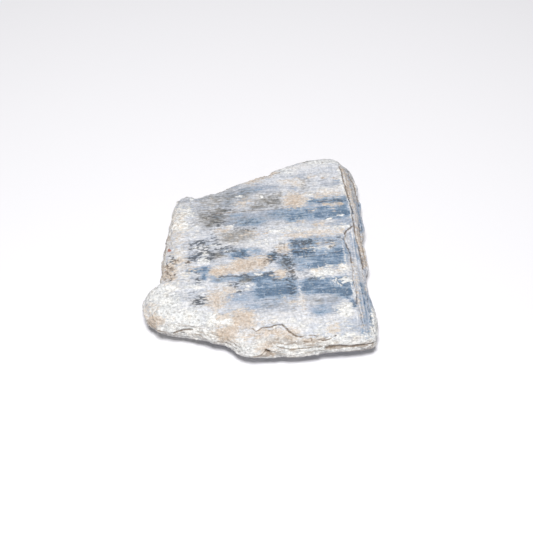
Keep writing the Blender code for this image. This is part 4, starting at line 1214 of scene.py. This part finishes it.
@dataclass
class Slab:
    """The slab of fused blades, with its fine skin and the masks of its stains.

    A band holds the two values between which a share goes from 0 to 1. A grain is the size of a noise.
    """

    voxel: float = 0.21
    triangles: int = 190000
    facet_rounds: int = 26
    step_rounds: int = 2
    pit_rounds: int = 12
    step_band: Band = (0.06, 0.2)
    rest_band: Band = (0.15, 0.9)
    step_hollow_band: Band = (0.08, 0.3)
    step_crest_band: Band = (0.06, 0.25)
    pit_hollow_band: Band = (0.02, 0.12)
    pit_crest_band: Band = (0.02, 0.1)

    drift_grain: Grain = Grain(3.6, 1.1)
    drift_reach: float = 1.0
    sway_grain: Grain = Grain(3.4, 1.6)
    sway_shift: float = 40.0
    sway_reach: float = 0.35
    rag_grain: Grain = Grain(1.8, 0.9)
    rag_shift: float = 70.0
    rag: float = 0.8
    line_share: float = 0.25
    face_level: float = 8.0
    lean: tuple[float, float] = (0.068, 0.778)  # How far areas lean over in X and Y for each unit of depth.
    upper_band: Band = (-0.1, 0.1)
    gentle_band: Band = (0.35, 0.85)
    right_band: Band = (8.0, 24.0)
    front_band: Band = (16.0, 22.0)
    slope_band: Band = (1.0, 2.4)
    wall_chalk: float = 0.72
    slope_chalk: float = 0.7

    flat_band: Band = (0.5, 0.9)
    crack_band: Band = (0.45, 0.95)
    crack_depth: float = 0.35
    fibre_grain: Grain = Grain(8.0, 0.7)
    fibre_height: float = 0.05
    blade_grain: Grain = Grain(22.0, 2.4)
    blade_height: float = 0.08
    flank_grain: Grain = Grain(0.55, 11.0, 3.0)
    flank_height: float = 0.1
    strata_grain: Grain = Grain(9.0, 9.0, 1.0)
    wall_height: float = 0.2
    crumb_grain: Grain = Grain(0.8, 0.8)
    clay_height: float = 0.07
    clay_lift: float = 0.7
    chalk_gain: float = 1.3
    chalk_height: float = 0.1
    crust_height: float = 0.3
    crust_mix: tuple[float, float, float] = (0.3, 0.7, 0.35)  # The shares of crumbs, ridges and lumps.
    ridge_grain: Grain = Grain(1.7, 1.1)
    swirl_grain: Grain = Grain(4.5, 4.5)
    swirl_steps: tuple[float, float, float] = (3.0, 11.0, 19.0)
    swirl_reach: float = 1.6
    lump_grain: Grain = Grain(3.0, 3.0)
    lump_step: float = 9.0
    first_seed: int = 5

    def __post_init__(self) -> None:
        """Make the noises, each from a seed of its own."""
        names = ("drift", "fibre", "crust", "layer")
        self.noises = {name: GradientNoise(seed) for seed, name in enumerate(names, self.first_seed)}

    def solid(self) -> bpy.types.Mesh:
        """Make an even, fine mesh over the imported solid.

        Returns:
            The mesh.
        """
        guide = bpy.data.objects.new("skin_guide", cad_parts[NODE].data.copy())
        bpy.context.scene.collection.objects.link(guide)
        remesh = guide.modifiers.new("skin", "REMESH")
        remesh.mode = "VOXEL"
        remesh.voxel_size = self.voxel * MM
        return self.applied(guide, "kyanite_skin")

    def applied(self, guide: bpy.types.Object, name: str) -> bpy.types.Mesh:
        """Give the mesh that an object's modifiers make, and remove the object.

        Args:
            guide: The object.
            name: The new mesh's name.

        Returns:
            The mesh.
        """
        bpy.context.view_layer.update()
        shape = guide.evaluated_get(bpy.context.evaluated_depsgraph_get())
        mesh = bpy.data.meshes.new_from_object(shape)
        mesh.name = name
        bpy.data.objects.remove(guide, do_unlink=True)
        return mesh

    def thinned(self, mesh: bpy.types.Mesh) -> bpy.types.Mesh:
        """Bring a fine mesh down to its share of triangles, the flat parts first.

        Args:
            mesh: The mesh.

        Returns:
            The thinned mesh.
        """
        guide = bpy.data.objects.new("thin_guide", mesh)
        bpy.context.scene.collection.objects.link(guide)
        # Each face of the even mesh is two triangles.
        thin = guide.modifiers.new("thin", "DECIMATE")
        thin.ratio = min(1.0, self.triangles / (2 * len(mesh.polygons)))
        return self.applied(guide, "kyanite_slab")

    def masks(self, places: np.ndarray, normals: np.ndarray) -> dict[Stain, np.ndarray]:
        """Work out how strong each stain is at each vertex.

        Args:
            places: The vertices' places, in millimetres.
            normals: The vertices' normals.

        Returns:
            Each stain's values, from 0 to about 1.
        """
        drift = self.noises["drift"]
        shift_x = drift.layered(self.drift_grain.scaled(places)) * self.drift_reach
        shift_y = drift.layered(self.sway_grain.scaled(places, self.sway_shift)) * self.sway_reach
        rough = self.noises["layer"].layered(self.rag_grain.scaled(places, self.rag_shift)) * self.rag
        upper = smooth(normals[:, 2], *self.upper_band)
        steep = 1 - smooth(np.abs(normals[:, 2]), *self.gentle_band)
        right = smooth(places[:, 0], *self.right_band)
        depth = self.face_level - places[:, 2]
        seen_x = places[:, 0] - self.lean[0] * depth
        seen_y = places[:, 1] - self.lean[1] * depth
        level = {}
        for stain in UNDER_PATCHES:
            share = self.line_share if stain in (Stain.SEAM, Stain.CRACK) else 1.0
            across, along = seen_x + shift_x * share, seen_y + shift_y * share
            top = self.stained(TOP_PATCHES[stain], across, along, rough * share, stain)
            across, along = places[:, 0] + shift_x * share, places[:, 1] + shift_y * share
            under = self.stained(UNDER_PATCHES[stain], across, along, rough * share, stain)
            level[stain] = upper * top + (1 - upper) * under
        level[Stain.FLANK] *= upper
        slope = upper * smooth(depth, *self.slope_band) * smooth(-places[:, 1], *self.front_band)
        level[Stain.WALL] = np.maximum(steep, slope) * (1 - level[Stain.FLANK] * upper)
        level[Stain.CHALK] = np.maximum(level[Stain.CHALK], steep * (1 - right) * self.wall_chalk)
        level[Stain.CHALK] = np.maximum(level[Stain.CHALK], slope * self.slope_chalk)
        for stain in (Stain.SPECKLE, Stain.RUST):
            level[stain] *= 1 - steep
        return level

    def stained(self, areas: list[Patch | Line], x: np.ndarray, y: np.ndarray, rough: np.ndarray,
                stain: Stain) -> np.ndarray:
        """Lay a stain's areas on each other.

        Args:
            areas: The areas, the lowest first.
            x: The places' X.
            y: The places' Y.
            rough: How far each place's edge is moved, for ragged edges.
            stain: The stain. Blue areas cover what is below them. Of the others the strongest counts.

        Returns:
            Values from 0 to about 1.
        """
        total = np.full(len(x), BARE_BLUE if stain is Stain.BLUE else 0.0)
        soft = SOFTNESS.get(stain, 1.0)
        for area in areas:
            cover = area.cover(x, y, rough, soft)
            if stain is Stain.BLUE:
                total = total * (1 - cover) + area.level * cover
            else:
                total = np.maximum(total, cover * area.level)
        return total

    def shift(self, places: np.ndarray, normals: np.ndarray, level: dict[Stain, np.ndarray]) -> np.ndarray:
        """Work out how far the skin stands out of the plain solid at each vertex.

        Args:
            places: The vertices' places, in millimetres.
            normals: The vertices' normals.
            level: Each stain's values.

        Returns:
            The heights, in millimetres.
        """
        flat = smooth(np.abs(normals[:, 2]), *self.flat_band)
        face = flat * (1 - level[Stain.FLANK])
        fibre = self.noises["fibre"]
        layer = self.noises["layer"]
        height = face * self.fibre_height * fibre.layered(self.fibre_grain.scaled(places))
        height += face * self.blade_height * layer.layered(self.blade_grain.scaled(places), 2)
        ribs = fibre.layered(self.flank_grain.scaled(places))
        height += level[Stain.FLANK] * flat * self.flank_height * ribs
        height = self.coated(places, level, height)
        height += (1 - flat) * self.wall_height * layer.ridged(self.strata_grain.scaled(places))
        height -= self.crack_depth * smooth(level[Stain.CRACK], *self.crack_band)
        return height * smooth(places[:, 2], *self.rest_band)

    def coated(self, places: np.ndarray, level: dict[Stain, np.ndarray], height: np.ndarray) -> np.ndarray:
        """Lay the clay and the crust on the skin.

        Args:
            places: The vertices' places, in millimetres.
            level: Each stain's values.
            height: How far the skin stands out below them.

        Returns:
            The new heights, in millimetres.
        """
        noise = self.noises["crust"]
        crumbs = noise.layered(self.crumb_grain.scaled(places))
        turns = [noise.value(self.swirl_grain.scaled(places) + step) for step in self.swirl_steps]
        swirl = self.swirl_reach * np.stack(turns, axis=1)
        ridges = noise.ridged(self.ridge_grain.scaled(places + swirl))
        lumps = noise.layered(self.lump_grain.scaled(places) + self.lump_step)
        chalk = np.minimum(level[Stain.CHALK] * self.chalk_gain, 1.0)
        mix = self.crust_mix[0] * crumbs + self.crust_mix[1] * ridges + self.crust_mix[2] * lumps
        height = height + self.clay_height * level[Stain.CLAY] * (self.clay_lift + crumbs)
        height = height + self.chalk_height * chalk
        return height + self.crust_height * chalk * mix

    def build(self, effects: Effects, finish: StoneFinish) -> bpy.types.Object:
        """Build the slab and dress it.

        Args:
            effects: The shared node groups.
            finish: The stone's finish.

        Returns:
            The finished piece.
        """
        mesh = self.solid()
        skin = Skin.of(mesh)
        skin.places = skin.relaxed(self.step_rounds)
        broad = skin.relaxed(self.facet_rounds)
        gap = np.linalg.norm(broad - skin.places, axis=1)
        normals = skin.normals(mesh)
        hollow = np.einsum("ij,ij->i", broad - skin.places, normals)
        keep = smooth(gap, *self.step_band)[:, None]
        skin.places = skin.places * keep + broad * (1 - keep)
        level = self.masks(skin.places, normals)
        skin.places += normals * self.shift(skin.places, normals, level)[:, None]
        skin.places[:, 2] = np.maximum(skin.places[:, 2], 0.0)
        normals = skin.normals(mesh)
        pits = np.einsum("ij,ij->i", skin.relaxed(self.pit_rounds) - skin.places, normals)
        # Where the painted shade and dirt go: the hollows of steps and pits.
        hollow_dirt_shade = smooth(hollow, *self.step_hollow_band) + smooth(pits, *self.pit_hollow_band)
        # Where the painted highlight goes: the crests of steps and edges.
        crest_highlight = smooth(-hollow, *self.step_crest_band) + smooth(-pits, *self.pit_crest_band)
        level[Stain.HOLLOW_DIRT_AND_SHADE] = np.clip(hollow_dirt_shade, 0, 1)
        level[Stain.CREST_HIGHLIGHT] = np.clip(crest_highlight, 0, 1)
        for stain, values in level.items():
            mask = mesh.attributes.new(stain.value, "FLOAT", "POINT")
            mask.data.foreach_set("value", values)
        mesh = self.thinned(mesh)
        mesh.shade_smooth()
        mesh.materials.clear()
        mesh.materials.append(finish.material(effects))
        slab = bpy.data.objects.new("kyanite_slab", mesh)
        bpy.context.scene.collection.objects.link(slab)
        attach(slab, BODY)
        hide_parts(NODE)
        return slab


@dataclass
class Studio:
    """The floor, the soft light and the camera."""

    elevation: float = 52.0
    azimuth: float = -5.0
    distance: float = 290.0
    target: tuple[float, float, float] = (2.4, -3.95, 5.0)
    lens: float = 75.0
    sensor: float = 36.0
    clip_start: float = 10.0
    floor_side: float = 3000.0
    floor_gap: float = 0.02
    world_colour: Colour = (1.0, 1.0, 1.0, 1.0)
    world_light: float = 0.27
    light_place: tuple[float, float, float] = (-22.0, -116.0, 450.0)
    light_side: float = 130.0
    light_watts: float = 2.47

    def floor(self, finish: FloorFinish) -> bpy.types.Object:
        """Lay the floor a hair below the slab's flat underside.

        Args:
            finish: Its finish.

        Returns:
            The floor.
        """
        half = self.floor_side / 2 * MM
        low = -self.floor_gap * MM
        corners = [(-half, -half, low), (half, -half, low), (half, half, low), (-half, half, low)]
        mesh = bpy.data.meshes.new("studio_floor")
        mesh.from_pydata(corners, [], [(0, 1, 2, 3)])
        mesh.materials.append(finish.material())
        floor = bpy.data.objects.new("studio_floor", mesh)
        bpy.context.scene.collection.objects.link(floor)
        return floor

    def lights(self) -> bpy.types.Object:
        """Hang the large soft light and set the light of the room.

        Returns:
            The large soft light.
        """
        light = bpy.data.lights.new("soft_light", "AREA")
        light.shape = "SQUARE"
        light.size = self.light_side * MM
        light.energy = self.light_watts
        lamp = bpy.data.objects.new("soft_light", light)
        lamp.location = Vector(self.light_place) * MM
        aim = Vector(self.target) * MM - lamp.location
        lamp.rotation_euler = aim.to_track_quat("-Z", "Y").to_euler()
        bpy.context.scene.collection.objects.link(lamp)
        world = bpy.data.worlds.new("studio")
        world.use_nodes = True
        background = world.node_tree.nodes["Background"]
        background.inputs["Color"].default_value = self.world_colour
        background.inputs["Strength"].default_value = self.world_light
        bpy.context.scene.world = world
        bpy.context.scene.view_settings.view_transform = "Standard"
        return lamp

    def camera(self) -> bpy.types.Object:
        """Place the camera.

        Returns:
            The camera.
        """
        turn = math.radians(self.azimuth)
        rise = math.radians(self.elevation)
        back = Vector((math.sin(turn) * math.cos(rise), -math.cos(turn) * math.cos(rise), math.sin(rise)))
        camera = bpy.data.objects.new("camera", bpy.data.cameras.new("camera"))
        camera.data.lens = self.lens
        camera.data.sensor_width = self.sensor
        camera.data.clip_start = self.clip_start * MM
        camera.location = (Vector(self.target) + back * self.distance) * MM
        camera.rotation_euler = (-back).to_track_quat("-Z", "Y").to_euler()
        bpy.context.scene.collection.objects.link(camera)
        bpy.context.scene.camera = camera
        return camera


def main() -> None:
    """Build the studio and the slab, and report each piece."""
    logging.basicConfig(level=logging.INFO, format="%(message)s")
    studio = Studio()
    for piece in (studio.camera(), studio.lights(), studio.floor(FloorFinish())):
        LOG.info("%s: the studio", piece.name)
    slab = Slab().build(Effects(), StoneFinish())
    LOG.info("%s: %d faces, rides on %s", slab.name, len(slab.data.polygons), BODY)


if __name__ == "__main__":
    main()
